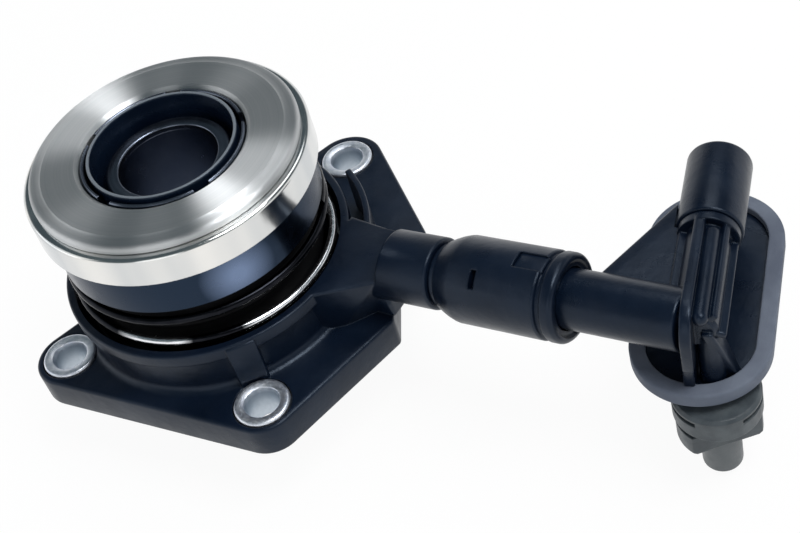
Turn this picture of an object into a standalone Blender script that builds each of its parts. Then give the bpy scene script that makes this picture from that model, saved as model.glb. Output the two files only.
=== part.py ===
"""Concentric slave cylinder: a hydraulic clutch release bearing that slides on a guide sleeve.

The frame stands on the mounting flange: the origin is on the shaft axis at the flange's back
face, +Z runs along the shaft towards the release bearing, and +X points the way the inlet leaves.
"""

import math

import bmesh
import bpy
from mathutils import Matrix, Vector
from mathutils.geometry import convex_hull_2d

# Clearance kept between pieces that touch
FIT = 0.0003

# Steps in a full turn of the large, middle and small round pieces
BIG_STEPS = 40
MID_STEPS = 24
SMALL_STEPS = 16

# Guide sleeve, the steel tube that the piston slides on
GUIDE_R = 0.0136
GUIDE_WALL = 0.0012
GUIDE_LIP_R = 0.01075
GUIDE_LIP = 0.0014
GUIDE_TOP = 0.0463
GUIDE_FOOT_R = 0.0178
GUIDE_FOOT = 0.0015
GUIDE_RING_R = 0.0006

# Moulded housing: flange, collar and the cylinder wall round the pressure chamber
FLANGE = 0.0080
BACK_DISC_PROUD = 0.0030
CHAMBER = 0.0059
CHAMBER_FLOOR = 0.0040
CYLINDER_WALL = 0.0030
CYLINDER_TOP = 0.0240
COLLAR_WALL = 0.0011
COLLAR_LIP = 0.0012
COLLAR_LIP_HEIGHT = 0.0030
COLLAR_TOP = 0.0205
COLLAR_FOOT = 0.0020

# Bolt holes of the flange: centre and the radius of the flange's corner round each
BOLTS = ((-0.02165, -0.03055, 0.0078), (0.02857, -0.02596, 0.0075), (0.00675, 0.04409, 0.0084))
BUSH_R = 0.00614
BUSH_BORE_R = 0.0037
BUSH_PROUD = 0.0006

# Flat end of the flange below the inlet
END_X = 0.0440
END_FRONT_Y = 0.00315
END_BACK_Y = 0.0238
END_CORNER_R = 0.0010
END_STEP_X = 0.0374
END_STEP_TURN = math.radians(30.3)
BOSS_BLOCK_SINK = 0.0005

# Arched rib on the flange, and the pad on the collar
RIB_CLEAR = 0.0060
RIB_WIDTH = 0.0013
RIB_TOP = 0.0125
RIB_FROM = math.radians(25.0)
RIB_TO = math.radians(62.0)
PAD_ANGLE = math.radians(-42.0)
PAD_WIDTH = 0.0065
PAD_PROUD = 0.0016

# Piston and its lip seal, at the end of the stroke where the spring holds them
SEAL_REST = 0.0130
SEAL = 0.0045
SEAL_LIP = 0.0022
PISTON = 0.0204
NOSE_R = 0.0163
NOSE_WALL = 0.0009
NOSE = 0.0127

# Bearing carrier, the dark cup under the bearing
CARRIER_OVERHANG = 0.0006
CARRIER_WALL = 0.0020
CARRIER_PLATE = 0.0021
CARRIER_SKIRT = 0.0077

# Release bearing
BALL_COUNT = 14
BALL_R = 0.0026
BALL_PITCH_R = 0.0246
BALL_RISE = 0.0041
RACE_R = 0.0298
RACE_HEIGHT = 0.0061
RACE_BORE_R = 0.0226
SHELL_WALL = 0.0009
SHELL_HEIGHT = 0.0072
SHELL_LIP_R = 0.0280
CONTACT_HEIGHT = 0.0096
CONTACT_BORE_R = 0.01813
CONTACT_NECK_R = 0.0217
CONTACT_FACE_R = 0.0270
CONTACT_RIM_R = 0.0292
CONTACT_RIM = 0.0020
CAGE_HALF = 0.0022
CAGE_REACH = 0.0023

# Notched ring that clips the bearing to the piston's nose
CLIP_WALL = 0.0009
CLIP_GAP = 0.0006
CLIP_FOOT = 0.0013
CLIP_HEIGHT = 0.0093
CLIP_NOTCHES = 5
CLIP_NOTCH = 0.0036
CLIP_NOTCH_DEPTH = 0.0036
CLIP_NOTCH_ANGLE = math.radians(-97.5)

# Preload spring
WIRE_R = 0.0008
COIL_CLEAR = 0.0061
COIL_SLACK = 0.0006
LIVE_TURNS = 2.0
COIL_START = math.radians(-35.0)

# Dust boot
BOOT_BASE = 0.0100
BOOT_CUFF = 0.0050
BOOT_WALL = 0.0007
BOOT_WAVE = 0.0026
BOOT_WAVES = 4

# Inlet line: it leaves the collar at this height and offset, and rises along +X
INLET_Y = 0.00982
INLET_Z = 0.01387
INLET_RISE = math.radians(6.14)
BOSS_R = 0.00763
BOSS_END = 0.0560
BOSS_BORE_R = 0.0058
BOSS_BORE = 0.0110
FEED_R = 0.0013
FEED_X = 0.0370
FEED_Z = 0.0053

# Quick connector on the inlet
NECK_R = 0.0066
NECK_LENGTH = 0.0014
BARREL_R = 0.00914
BARREL_CONE = 0.0051
BARREL_LENGTH = 0.0236
BARREL_GROOVE = 0.0012
BARREL_GROOVE_DEPTH = 0.0005
BARREL_RIM = 0.0029
SPIGOT_LENGTH = 0.0100
SPIGOT_GROOVE = 0.0020
SPIGOT_RING_R = 0.0006
WINDOW_LENGTH = 0.0072
WINDOW_WIDTH = 0.0048
WINDOW_DEPTH = 0.0019
LATCH_LENGTH = 0.0010
LATCH_WIDTH = 0.0040
LATCH_AT = 0.0106
LATCH_ANGLE = math.radians(45.0)

# Inlet tube and the elbow where it meets the adapter
TUBE_R = 0.00612
TUBE_BORE_R = 0.0022
TUBE_SEAT = 0.0210
ELBOW_AT = 0.1118

# Adapter, turned about Z from the inlet's direction
ADAPTER_TURN = math.radians(15.9)
COLUMN_R = 0.0026
ARM_R = 0.0044
ARM_LOW = 0.0022
ARM_LENGTH = 0.0233
ARM_RIBS = 6
ARM_RIB = 0.0014
PORT_R = 0.00614
PORT_LENGTH = 0.0194
PORT_SOCKET_R = 0.0042
PORT_SOCKET = 0.0120
PORT_SPIGOT_R = 0.0030
PORT_SPIGOT = 0.0058
WEB = 0.0025
WEB_TUBE_AT = 0.0230
WEB_PORT_AT = 0.0312
PLATE_DROP = 0.0156
PLATE = 0.0018
PLATE_R = 0.0113
PLATE_STEPS = 24
PLATE_OFFSET_X = -0.00105
PLATE_NEAR_Y = 0.00715
PLATE_SPAN = 0.02765
LEG = 0.0022
LEG_TOPS = ((-0.0012, -0.0060), (0.0022, -0.0032))
LEG_FEET = ((-0.0019, -0.0040), (0.0063, 0.0001))

# Rubber grommet round the adapter's plate
GROMMET_R = 0.01395
GROMMET_FACE = 0.0019
GROMMET_RIM = 0.0034
GROMMET_SKIRT = 0.0017
GROMMET_HOLD = 0.0005

# Bleed valve under the adapter
BLEED_OFFSET_X = 0.0023
BLEED_BODY_R = 0.00885
BLEED_BODY = 0.0062
BLEED_SPIGOT_R = 0.0027
BLEED_SPIGOT = 0.0048
BLEED_SLOT = 0.0009
BLEED_SLOT_DEPTH = 0.0016
BLEED_SLOT_DROP = 0.0012
BLEED_SLOTS = (math.radians(215.0), math.radians(345.0), math.radians(90.0))
BLEED_SLOT_REACH = math.radians(34.0)
HEAD_R = 0.0085
HEAD = 0.0061
HEAD_STEP = 0.0009
HEAD_NECK_R = 0.0066
HEAD_FLAT = 0.0046
HEAD_FLAT_TURN = math.radians(-62.5)
NIPPLE_R = 0.0041
NIPPLE = 0.0101
NIPPLE_BORE_R = 0.0012


def clear_scene():
    for item in list(bpy.data.objects):
        bpy.data.objects.remove(item, do_unlink=True)


def make_material(name, colour, roughness, metallic):
    material = bpy.data.materials.new(name)
    material.use_nodes = True
    shader = material.node_tree.nodes["Principled BSDF"]
    shader.inputs["Base Color"].default_value = (colour[0], colour[1], colour[2], 1.0)
    shader.inputs["Roughness"].default_value = roughness
    shader.inputs["Metallic"].default_value = metallic
    return material


def place(name, bm, material=None, parent=None, location=(0, 0, 0), rotation=(0, 0, 0)):
    """Turn a finished bmesh into a named, smooth-shaded object."""
    bmesh.ops.remove_doubles(bm, verts=bm.verts, dist=1e-7)
    bmesh.ops.recalc_face_normals(bm, faces=bm.faces)
    mesh = bpy.data.meshes.new(name)
    bm.to_mesh(mesh)
    bm.free()
    mesh.shade_smooth()
    mesh.set_sharp_from_angle(angle=math.radians(32.0))
    if material:
        mesh.materials.append(material)
    item = bpy.data.objects.new(name, mesh)
    bpy.context.collection.objects.link(item)
    item.location = location
    item.rotation_euler = rotation
    item.parent = parent
    return item


def make_empty(name, location=(0, 0, 0), rotation=(0, 0, 0), parent=None):
    item = bpy.data.objects.new(name, None)
    bpy.context.collection.objects.link(item)
    item.empty_display_size = 0.01
    item.location = location
    item.rotation_euler = rotation
    item.parent = parent
    return item


def turned(profile, steps, closed=True):
    """Turn an outline of (radius, height) pairs round Z; an open one starts and ends on the axis."""
    bm = bmesh.new()
    verts = [bm.verts.new((radius, 0.0, height)) for radius, height in profile]
    edges = [bm.edges.new(pair) for pair in zip(verts, verts[1:])]
    if closed:
        edges.append(bm.edges.new((verts[-1], verts[0])))
    bmesh.ops.spin(
        bm,
        geom=verts + edges,
        cent=(0.0, 0.0, 0.0),
        axis=(0.0, 0.0, 1.0),
        angle=2.0 * math.pi,
        steps=steps,
        use_duplicate=False,
    )
    return bm


def rod(radius, low, high, steps=SMALL_STEPS):
    return turned([(0.0, low), (radius, low), (radius, high), (0.0, high)], steps, closed=False)


def prism(outline, low, high, axis="Z"):
    """Extrude a flat outline; with axis X the outline's pairs are (y, z)."""
    bm = bmesh.new()
    if axis == "Z":
        verts = [bm.verts.new((a, b, low)) for a, b in outline]
        step = Vector((0.0, 0.0, high - low))
    else:
        verts = [bm.verts.new((low, a, b)) for a, b in outline]
        step = Vector((high - low, 0.0, 0.0))
    face = bm.faces.new(verts)
    made = bmesh.ops.extrude_face_region(bm, geom=[face])
    moved = [item for item in made["geom"] if isinstance(item, bmesh.types.BMVert)]
    bmesh.ops.translate(bm, vec=step, verts=moved)
    return bm


def block(x_range, y_range, z_range):
    outline = [
        (x_range[0], y_range[0]),
        (x_range[1], y_range[0]),
        (x_range[1], y_range[1]),
        (x_range[0], y_range[1]),
    ]
    return prism(outline, z_range[0], z_range[1])


def strut(top, foot, low, high):
    """A leaning leg along Y: at each end its front edge is given, and its back is level with Y = LEG."""
    bm = bmesh.new()
    loops = []
    for (x, y), z in ((foot, low), (top, high)):
        corners = ((x - LEG / 2.0, y), (x + LEG / 2.0, y), (x + LEG / 2.0, LEG), (x - LEG / 2.0, LEG))
        loops.append([bm.verts.new((a, b, z)) for a, b in corners])
    bm.faces.new(list(reversed(loops[0])))
    bm.faces.new(loops[1])
    for k in range(4):
        n = (k + 1) % 4
        bm.faces.new((loops[0][k], loops[0][n], loops[1][n], loops[1][k]))
    return bm


def disc_outline(x, y, radius, steps=SMALL_STEPS):
    angles = [2.0 * math.pi * i / steps for i in range(steps)]
    return [(x + radius * math.cos(a), y + radius * math.sin(a)) for a in angles]


def hull_outline(points):
    order = convex_hull_2d([Vector(point) for point in points])
    return [points[index] for index in order]


def bulged(outline, radius):
    """Let a disc round the origin bulge through the sides of an outline that it crosses."""
    points = []
    for start, end in zip(outline, outline[1:] + outline[:1]):
        points.append(start)
        a = Vector(start)
        along = Vector(end) - a
        half = a.dot(along) / along.length_squared
        reach = half * half - (a.length_squared - radius * radius) / along.length_squared
        if reach <= 0.0 or not 0.0 < -half < 1.0:
            continue
        enter = a + along * (-half - math.sqrt(reach))
        leave = a + along * (-half + math.sqrt(reach))
        first = math.atan2(enter.y, enter.x)
        sweep = (math.atan2(leave.y, leave.x) - first) % (2.0 * math.pi)
        steps = max(4, int(BIG_STEPS * sweep / (2.0 * math.pi)))
        for index in range(steps + 1):
            angle = first + sweep * index / steps
            points.append((radius * math.cos(angle), radius * math.sin(angle)))
    return points


def arc(centre, radius, start, end, steps):
    """Points of an arc; angles in degrees, in the plane of (radius, height)."""
    points = []
    for i in range(steps + 1):
        angle = math.radians(start + (end - start) * i / steps)
        points.append((centre[0] + radius * math.cos(angle), centre[1] + radius * math.sin(angle)))
    return points


def stadium(section, near, far, steps):
    """Carry a closed (radius, height) section round a stadium whose end centres lie on Y."""
    bm = bmesh.new()
    loops = []
    for centre, start in ((far, 0.0), (near, math.pi)):
        for i in range(steps + 1):
            angle = start + math.pi * i / steps
            out = Vector((math.cos(angle), math.sin(angle), 0.0))
            loop = []
            for radius, height in section:
                loop.append(bm.verts.new(Vector((0.0, centre, height)) + out * radius))
            loops.append(loop)
    for index, loop in enumerate(loops):
        following = loops[(index + 1) % len(loops)]
        for k in range(len(section)):
            n = (k + 1) % len(section)
            bm.faces.new((loop[k], following[k], following[n], loop[n]))
    return bm


def wire_along(points, radius, sides):
    """A round wire through a row of points, closed at both ends."""
    bm = bmesh.new()
    loops = []
    for index, point in enumerate(points):
        after = points[min(index + 1, len(points) - 1)]
        before = points[max(index - 1, 0)]
        along = (after - before).normalized()
        side = along.cross(Vector((0.0, 0.0, 1.0))).normalized()
        up = side.cross(along)
        loop = []
        for k in range(sides):
            angle = 2.0 * math.pi * k / sides
            loop.append(bm.verts.new(point + radius * (math.cos(angle) * side + math.sin(angle) * up)))
        loops.append(loop)
    for loop, following in zip(loops, loops[1:]):
        for k in range(sides):
            n = (k + 1) % sides
            bm.faces.new((loop[k], loop[n], following[n], following[k]))
    bm.faces.new(loops[0])
    bm.faces.new(list(reversed(loops[-1])))
    return bm


def combine(target, tool, operation):
    """Join a hidden shape to an object, or cut it away."""
    modifier = target.modifiers.new(tool.name, "BOOLEAN")
    modifier.operation = operation
    modifier.solver = "EXACT"
    modifier.object = tool
    tool.hide_render = True
    tool.display_type = "WIRE"


def join(target, tool):
    combine(target, tool, "UNION")


def cut(target, tool):
    combine(target, tool, "DIFFERENCE")


# Radii that follow from the sleeve outwards: chamber, cylinder wall, boot, coil, carrier, collar
CYLINDER_R = GUIDE_R + CHAMBER
MOAT_R = CYLINDER_R + CYLINDER_WALL
COIL_R = MOAT_R + COIL_CLEAR
CARRIER_R = COIL_R + CARRIER_OVERHANG
COLLAR_R = COIL_R + WIRE_R + COIL_SLACK
BACK_DISC_R = COLLAR_R + BACK_DISC_PROUD
RIB_R = COLLAR_R + RIB_CLEAR

# Heights that follow from the stack of pieces along the shaft
PISTON_LOW = SEAL_REST + SEAL + FIT
PISTON_TOP = PISTON_LOW + PISTON
PLATE_LOW = PISTON_TOP + FIT
CARRIER_TOP = PLATE_LOW + CARRIER_PLATE
SKIRT_LOW = PLATE_LOW - CARRIER_SKIRT
RACE_LOW = CARRIER_TOP + FIT
BALL_Z = RACE_LOW + BALL_RISE
RACE_TOP = RACE_LOW + RACE_HEIGHT
SHELL_TOP = RACE_LOW + SHELL_HEIGHT
CONTACT_TOP = RACE_LOW + CONTACT_HEIGHT
CONTACT_LOW = CONTACT_TOP - CONTACT_RIM
GROOVE_R = BALL_R + FIT
SHELL_R = RACE_R + FIT + SHELL_WALL
CLIP_R = CONTACT_BORE_R - FIT
CLIP_BORE_R = CLIP_R - CLIP_WALL

clear_scene()

plastic = make_material("black_plastic", (0.012, 0.014, 0.018), 0.38, 0.0)
adapter_plastic = make_material("adapter_plastic", (0.013, 0.015, 0.020), 0.42, 0.0)
polished = make_material("polished_steel", (0.62, 0.63, 0.65), 0.22, 1.0)
ground = make_material("ground_steel", (0.50, 0.51, 0.53), 0.34, 1.0)
dark_steel = make_material("dark_steel", (0.075, 0.080, 0.088), 0.36, 0.9)
zinc = make_material("zinc_plate", (0.42, 0.42, 0.43), 0.45, 1.0)
spring_steel = make_material("spring_steel", (0.36, 0.37, 0.38), 0.3, 1.0)
rubber = make_material("grey_rubber", (0.24, 0.26, 0.29), 0.62, 0.0)
black_rubber = make_material("black_rubber", (0.010, 0.010, 0.011), 0.55, 0.0)
seal_rubber = make_material("seal_rubber", (0.022, 0.023, 0.024), 0.5, 0.0)
bleed_plastic = make_material("bleed_plastic", (0.30, 0.31, 0.30), 0.5, 0.0)

# Frames: the sliding pieces ride on the shaft axis, the inlet pieces on the inlet's axis
shaft = make_empty("shaft_axis")
inlet = make_empty(
    "inlet_axis",
    location=(0.0, INLET_Y, INLET_Z),
    rotation=(0.0, math.pi / 2.0 - INLET_RISE, 0.0),
)
ELBOW_X = ELBOW_AT * math.cos(INLET_RISE)
ELBOW_Z = INLET_Z + ELBOW_AT * math.sin(INLET_RISE)
elbow = make_empty("elbow", location=(ELBOW_X, INLET_Y, ELBOW_Z), rotation=(0.0, 0.0, ADAPTER_TURN))
bleed_axis = make_empty("bleed_axis", location=(BLEED_OFFSET_X, 0.0, 0.0), parent=elbow)


def build_housing():
    """The moulding: one flange, the collar, the cylinder wall and the inlet boss."""
    corners = []
    for x, y, radius in BOLTS:
        corners += disc_outline(x, y, radius, MID_STEPS)
    end_x = END_X - END_CORNER_R
    corners += disc_outline(end_x, END_FRONT_Y + END_CORNER_R, END_CORNER_R, 8)
    corners += disc_outline(end_x, END_BACK_Y - END_CORNER_R, END_CORNER_R, 8)
    outline = bulged(hull_outline(corners), BACK_DISC_R)
    housing = place("housing", prism(outline, 0.0, FLANGE), plastic)
    run = math.tan(END_STEP_TURN)
    step_y = END_FRONT_Y + (END_X - END_STEP_X) / run
    beyond = END_X + FLANGE
    step = [
        (END_X + END_FRONT_Y * run, 0.0),
        (END_STEP_X, step_y),
        (END_STEP_X, END_BACK_Y * 2.0),
        (beyond, END_BACK_Y * 2.0),
        (beyond, 0.0),
    ]
    cut(housing, place("end_step", prism(step, -FLANGE, FLANGE * 2.0)))

    # Collar with its lip and a foot that spreads on the flange, round a core for the cylinder
    outer = COLLAR_R + COLLAR_WALL
    collar = [
        (0.0, FLANGE / 2.0),
        (outer + COLLAR_FOOT, FLANGE / 2.0),
        (outer + COLLAR_FOOT, FLANGE + COLLAR_FOOT * 0.1),
        (outer + COLLAR_FOOT * 0.3, FLANGE + COLLAR_FOOT * 0.3),
        (outer, FLANGE + COLLAR_FOOT),
        (outer, COLLAR_TOP - COLLAR_LIP_HEIGHT - COLLAR_LIP),
        (outer + COLLAR_LIP, COLLAR_TOP - COLLAR_LIP_HEIGHT),
        (outer + COLLAR_LIP, COLLAR_TOP - FIT),
        (outer + COLLAR_LIP - FIT, COLLAR_TOP),
        ((MOAT_R + COLLAR_R) / 2.0, COLLAR_TOP),
        ((MOAT_R + COLLAR_R) / 2.0, CYLINDER_TOP),
        (0.0, CYLINDER_TOP),
    ]
    join(housing, place("collar", turned(collar, BIG_STEPS, closed=False)))

    # Inlet boss, and the block that carries it down to the flange
    join(housing, place("boss", rod(BOSS_R, COLLAR_R * 0.8, BOSS_END, MID_STEPS), parent=inlet))
    low_front = END_FRONT_Y + FLANGE * 0.15
    low_back = INLET_Y + BOSS_R * 1.35
    seat = INLET_Z + END_X * 0.5 * math.tan(INLET_RISE)
    outline = [
        (low_front, FLANGE - BOSS_BLOCK_SINK),
        (low_back, FLANGE - BOSS_BLOCK_SINK),
        (low_back, FLANGE + COLLAR_FOOT),
        (INLET_Y + BOSS_R * 0.75, seat),
        (INLET_Y - BOSS_R * 0.55, seat),
        (INLET_Y - BOSS_R * 0.8, FLANGE + BOSS_R * 0.55),
        (low_front, FLANGE + COLLAR_FOOT * 0.2),
    ]
    join(housing, place("boss_block", prism(outline, COLLAR_R * 0.85, END_X - FIT, axis="X")))

    # Arched rib on the flange
    inner_arc = arc((0.0, 0.0), RIB_R, math.degrees(RIB_FROM), math.degrees(RIB_TO), 8)
    outer_r = RIB_R + RIB_WIDTH
    outer_arc = arc((0.0, 0.0), outer_r, math.degrees(RIB_TO), math.degrees(RIB_FROM), 8)
    join(housing, place("arched_rib", prism(inner_arc + outer_arc, FLANGE / 2.0, RIB_TOP)))

    # Flat pad on the side of the collar
    pad = block(
        (COLLAR_R + COLLAR_WALL / 2.0, COLLAR_R + COLLAR_WALL + PAD_PROUD),
        (-PAD_WIDTH / 2.0, PAD_WIDTH / 2.0),
        (FLANGE / 2.0, COLLAR_TOP - FIT * 2.0),
    )
    join(housing, place("collar_pad", pad, rotation=(0.0, 0.0, PAD_ANGLE)))

    # Moat between the cylinder wall and the collar, open upwards for the bearing's travel
    reach = outer + COLLAR_LIP + FIT
    above = PISTON_TOP
    moat = [
        (MOAT_R, FLANGE),
        (COLLAR_R, FLANGE),
        (COLLAR_R, COLLAR_TOP + FIT),
        (reach, COLLAR_TOP + FIT),
        (reach, above),
        (MOAT_R - 2.0 * FIT, above),
        (MOAT_R - 2.0 * FIT, CYLINDER_TOP + FIT),
        (MOAT_R, CYLINDER_TOP - FIT),
    ]
    cut(housing, place("moat", turned(moat, BIG_STEPS)))

    # Stepped bore: sleeve foot, ring groove, sleeve and pressure chamber
    groove = GUIDE_R + 2.0 * GUIDE_RING_R + 2.0 * FIT
    foot = GUIDE_FOOT + FIT
    bore = [
        (0.0, -FLANGE),
        (GUIDE_FOOT_R + FIT, -FLANGE),
        (GUIDE_FOOT_R + FIT, foot),
        (groove, foot),
        (groove, foot + 2.0 * GUIDE_RING_R),
        (GUIDE_R + FIT, foot + 2.0 * GUIDE_RING_R),
        (GUIDE_R + FIT, CHAMBER_FLOOR),
        (CYLINDER_R, CHAMBER_FLOOR),
        (CYLINDER_R, CYLINDER_TOP - GUIDE_WALL),
        (CYLINDER_R + GUIDE_WALL / 2.0, CYLINDER_TOP + FIT),
        (CYLINDER_R + GUIDE_WALL / 2.0, above),
        (0.0, above),
    ]
    cut(housing, place("stepped_bore", turned(bore, BIG_STEPS, closed=False)))

    for index, (x, y, radius) in enumerate(BOLTS):
        hole = rod(BUSH_R + FIT, -FLANGE, FLANGE + 2.0 * BUSH_PROUD, MID_STEPS)
        cut(housing, place("bolt_hole_%d" % (index + 1), hole, location=(x, y, 0.0)))

    # Drillings that carry the fluid from the boss down and across into the chamber
    inner = BOSS_END - BOSS_BORE
    feed_s = FEED_X / math.cos(INLET_RISE)
    drilled = [
        (0.0, feed_s - 1.5 * FEED_R),
        (FEED_R, feed_s - FEED_R),
        (FEED_R, inner),
        (BOSS_BORE_R, inner),
        (BOSS_BORE_R, BOSS_END + FLANGE),
        (0.0, BOSS_END + FLANGE),
    ]
    cut(housing, place("boss_bore", turned(drilled, SMALL_STEPS, closed=False), parent=inlet))
    down_top = INLET_Z + FEED_X * math.tan(INLET_RISE)
    down = rod(FEED_R * 0.9, FEED_Z, down_top, 10)
    cut(housing, place("down_drilling", down, location=(FEED_X, INLET_Y, 0.0)))
    chamber_x = math.sqrt(CYLINDER_R ** 2 - INLET_Y ** 2) - FEED_R
    across = rod(FEED_R, chamber_x, FEED_X + FEED_R * 0.9, 10)
    cut(housing, place(
        "cross_drilling", across, location=(0.0, INLET_Y, FEED_Z), rotation=(0.0, math.pi / 2.0, 0.0),
    ))
    return housing


def build_shaft_pieces():
    """Everything that is turned round the shaft, from the guide sleeve outwards."""
    wall = GUIDE_R - GUIDE_WALL
    sleeve = [
        (wall, 0.0),
        (GUIDE_FOOT_R, 0.0),
        (GUIDE_FOOT_R, GUIDE_FOOT),
        (GUIDE_R, GUIDE_FOOT),
        (GUIDE_R, GUIDE_TOP - FIT * 2.0),
        (GUIDE_R - FIT * 2.0, GUIDE_TOP),
        (GUIDE_LIP_R + FIT, GUIDE_TOP),
        (GUIDE_LIP_R, GUIDE_TOP - FIT),
        (GUIDE_LIP_R, GUIDE_TOP - GUIDE_LIP),
        (wall, GUIDE_TOP - GUIDE_LIP),
    ]
    place("guide_sleeve", turned(sleeve, MID_STEPS), ground, parent=shaft)

    ring_centre = (GUIDE_R + GUIDE_RING_R + FIT, GUIDE_FOOT + FIT + GUIDE_RING_R)
    ring = arc(ring_centre, GUIDE_RING_R * 0.9, 0.0, 300.0, 5)
    place("sleeve_o_ring", turned(ring, MID_STEPS), seal_rubber, parent=shaft)

    inner = GUIDE_R + FIT
    outer = CYLINDER_R - FIT
    land = (outer - inner) / 5.0
    lips = [
        (inner, 0.0),
        (inner + land, 0.0),
        (inner + 2.0 * land, SEAL_LIP),
        (outer - 2.0 * land, SEAL_LIP),
        (outer - land, 0.0),
        (outer, 0.0),
        (outer, SEAL),
        (inner, SEAL),
    ]
    location = (0.0, 0.0, SEAL_REST)
    place("piston_seal", turned(lips, MID_STEPS), seal_rubber, parent=shaft, location=location)

    nose_bore = NOSE_R - NOSE_WALL
    piston = [
        (inner, 0.0),
        (outer, 0.0),
        (outer, PISTON),
        (NOSE_R, PISTON),
        (NOSE_R, PISTON + NOSE - FIT),
        (NOSE_R - FIT, PISTON + NOSE),
        (nose_bore, PISTON + NOSE),
        (nose_bore, PISTON + CARRIER_PLATE),
        (inner, PISTON + CARRIER_PLATE - (nose_bore - inner)),
    ]
    location = (0.0, 0.0, PISTON_LOW)
    place("piston", turned(piston, MID_STEPS), plastic, parent=shaft, location=location)

    carrier = [
        (NOSE_R + FIT, PLATE_LOW),
        (CARRIER_R - CARRIER_WALL, PLATE_LOW),
        (CARRIER_R - CARRIER_WALL, SKIRT_LOW),
        (CARRIER_R, SKIRT_LOW),
        (CARRIER_R, CARRIER_TOP - FIT * 2.0),
        (CARRIER_R - FIT * 2.0, CARRIER_TOP),
        (NOSE_R + FIT, CARRIER_TOP),
    ]
    place("bearing_carrier", turned(carrier, BIG_STEPS), dark_steel, parent=shaft)

    # Fixed race: a cup under and outside the balls
    ball = (BALL_PITCH_R, BALL_Z)
    groove = arc(ball, GROOVE_R, -105.0, 0.0, 4)
    fixed = groove + [
        (BALL_PITCH_R + GROOVE_R, RACE_TOP),
        (RACE_R, RACE_TOP),
        (RACE_R, RACE_LOW),
        (RACE_BORE_R, RACE_LOW),
        (RACE_BORE_R, groove[0][1]),
    ]
    place("fixed_race", turned(fixed, BIG_STEPS), ground, parent=shaft)

    # Contact ring: a cap over and inside the balls, its flat face meets the clutch fingers
    groove = arc(ball, GROOVE_R, 75.0, 180.0, 4)
    neck_low = RACE_LOW + CLIP_FOOT + CLIP_GAP
    contact = groove + [
        (CONTACT_NECK_R, neck_low),
        (CONTACT_BORE_R, neck_low),
        (CONTACT_BORE_R, CONTACT_TOP - FIT),
        (CONTACT_BORE_R + FIT, CONTACT_TOP),
        (CONTACT_FACE_R, CONTACT_TOP),
        (CONTACT_FACE_R + (CONTACT_RIM_R - CONTACT_FACE_R) * 0.6, CONTACT_TOP - CONTACT_RIM * 0.14),
        (CONTACT_FACE_R + (CONTACT_RIM_R - CONTACT_FACE_R) * 0.9, CONTACT_TOP - CONTACT_RIM * 0.4),
        (CONTACT_RIM_R, CONTACT_TOP - CONTACT_RIM * 0.7),
        (CONTACT_RIM_R, CONTACT_LOW),
        (SHELL_LIP_R - FIT * 4.0, CONTACT_LOW),
        (SHELL_LIP_R - FIT * 4.0, groove[0][1]),
    ]
    place("contact_ring", turned(contact, BIG_STEPS), polished, parent=shaft)

    inside = SHELL_R - SHELL_WALL
    shell = [
        (inside, RACE_LOW),
        (SHELL_R, RACE_LOW),
        (SHELL_R, SHELL_TOP - SHELL_WALL),
        (SHELL_R - SHELL_WALL * 0.4, SHELL_TOP),
        (SHELL_LIP_R, SHELL_TOP),
        (SHELL_LIP_R, RACE_TOP + FIT),
        (inside, RACE_TOP + FIT),
    ]
    place("bearing_shell", turned(shell, BIG_STEPS), polished, parent=shaft)

    # Cage: a band with a round pocket for each ball
    band = [
        (BALL_PITCH_R - CAGE_REACH * 0.4, -CAGE_HALF * 0.55),
        (BALL_PITCH_R + CAGE_REACH, -CAGE_HALF * 0.55),
        (BALL_PITCH_R + CAGE_REACH, CAGE_HALF * 1.1),
        (BALL_PITCH_R - CAGE_REACH * 0.4, CAGE_HALF * 1.1),
    ]
    location = (0.0, 0.0, BALL_Z)
    turn = (0.0, 0.0, math.pi / BALL_COUNT)
    cage_steps = BALL_COUNT * 2
    cage = place("ball_cage", turned(band, cage_steps), seal_rubber, shaft, location, turn)
    pockets = bmesh.new()
    for index in range(BALL_COUNT):
        angle = 2.0 * math.pi * index / BALL_COUNT
        centre = Vector((BALL_PITCH_R * math.cos(angle), BALL_PITCH_R * math.sin(angle), 0.0))
        turn_in = Matrix.Translation(centre) @ Matrix.Rotation(angle, 4, "Z")
        bmesh.ops.create_uvsphere(
            pockets, u_segments=8, v_segments=5, radius=GROOVE_R * 1.05, matrix=turn_in,
        )
    cut(cage, place("ball_pockets", pockets, parent=shaft, location=location))

    ball_mesh = None
    for index in range(BALL_COUNT):
        angle = 2.0 * math.pi * index / BALL_COUNT
        spot = (BALL_PITCH_R * math.cos(angle), BALL_PITCH_R * math.sin(angle), BALL_Z)
        name = "ball_%02d" % (index + 1)
        if ball_mesh is None:
            bm = bmesh.new()
            bmesh.ops.create_uvsphere(bm, u_segments=8, v_segments=5, radius=BALL_R)
            first = place(name, bm, polished, shaft, spot, (0.0, 0.0, angle))
            ball_mesh = first.data
        else:
            copy = bpy.data.objects.new(name, ball_mesh)
            bpy.context.collection.objects.link(copy)
            copy.parent = shaft
            copy.location = spot
            copy.rotation_euler = (0.0, 0.0, angle)

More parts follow.
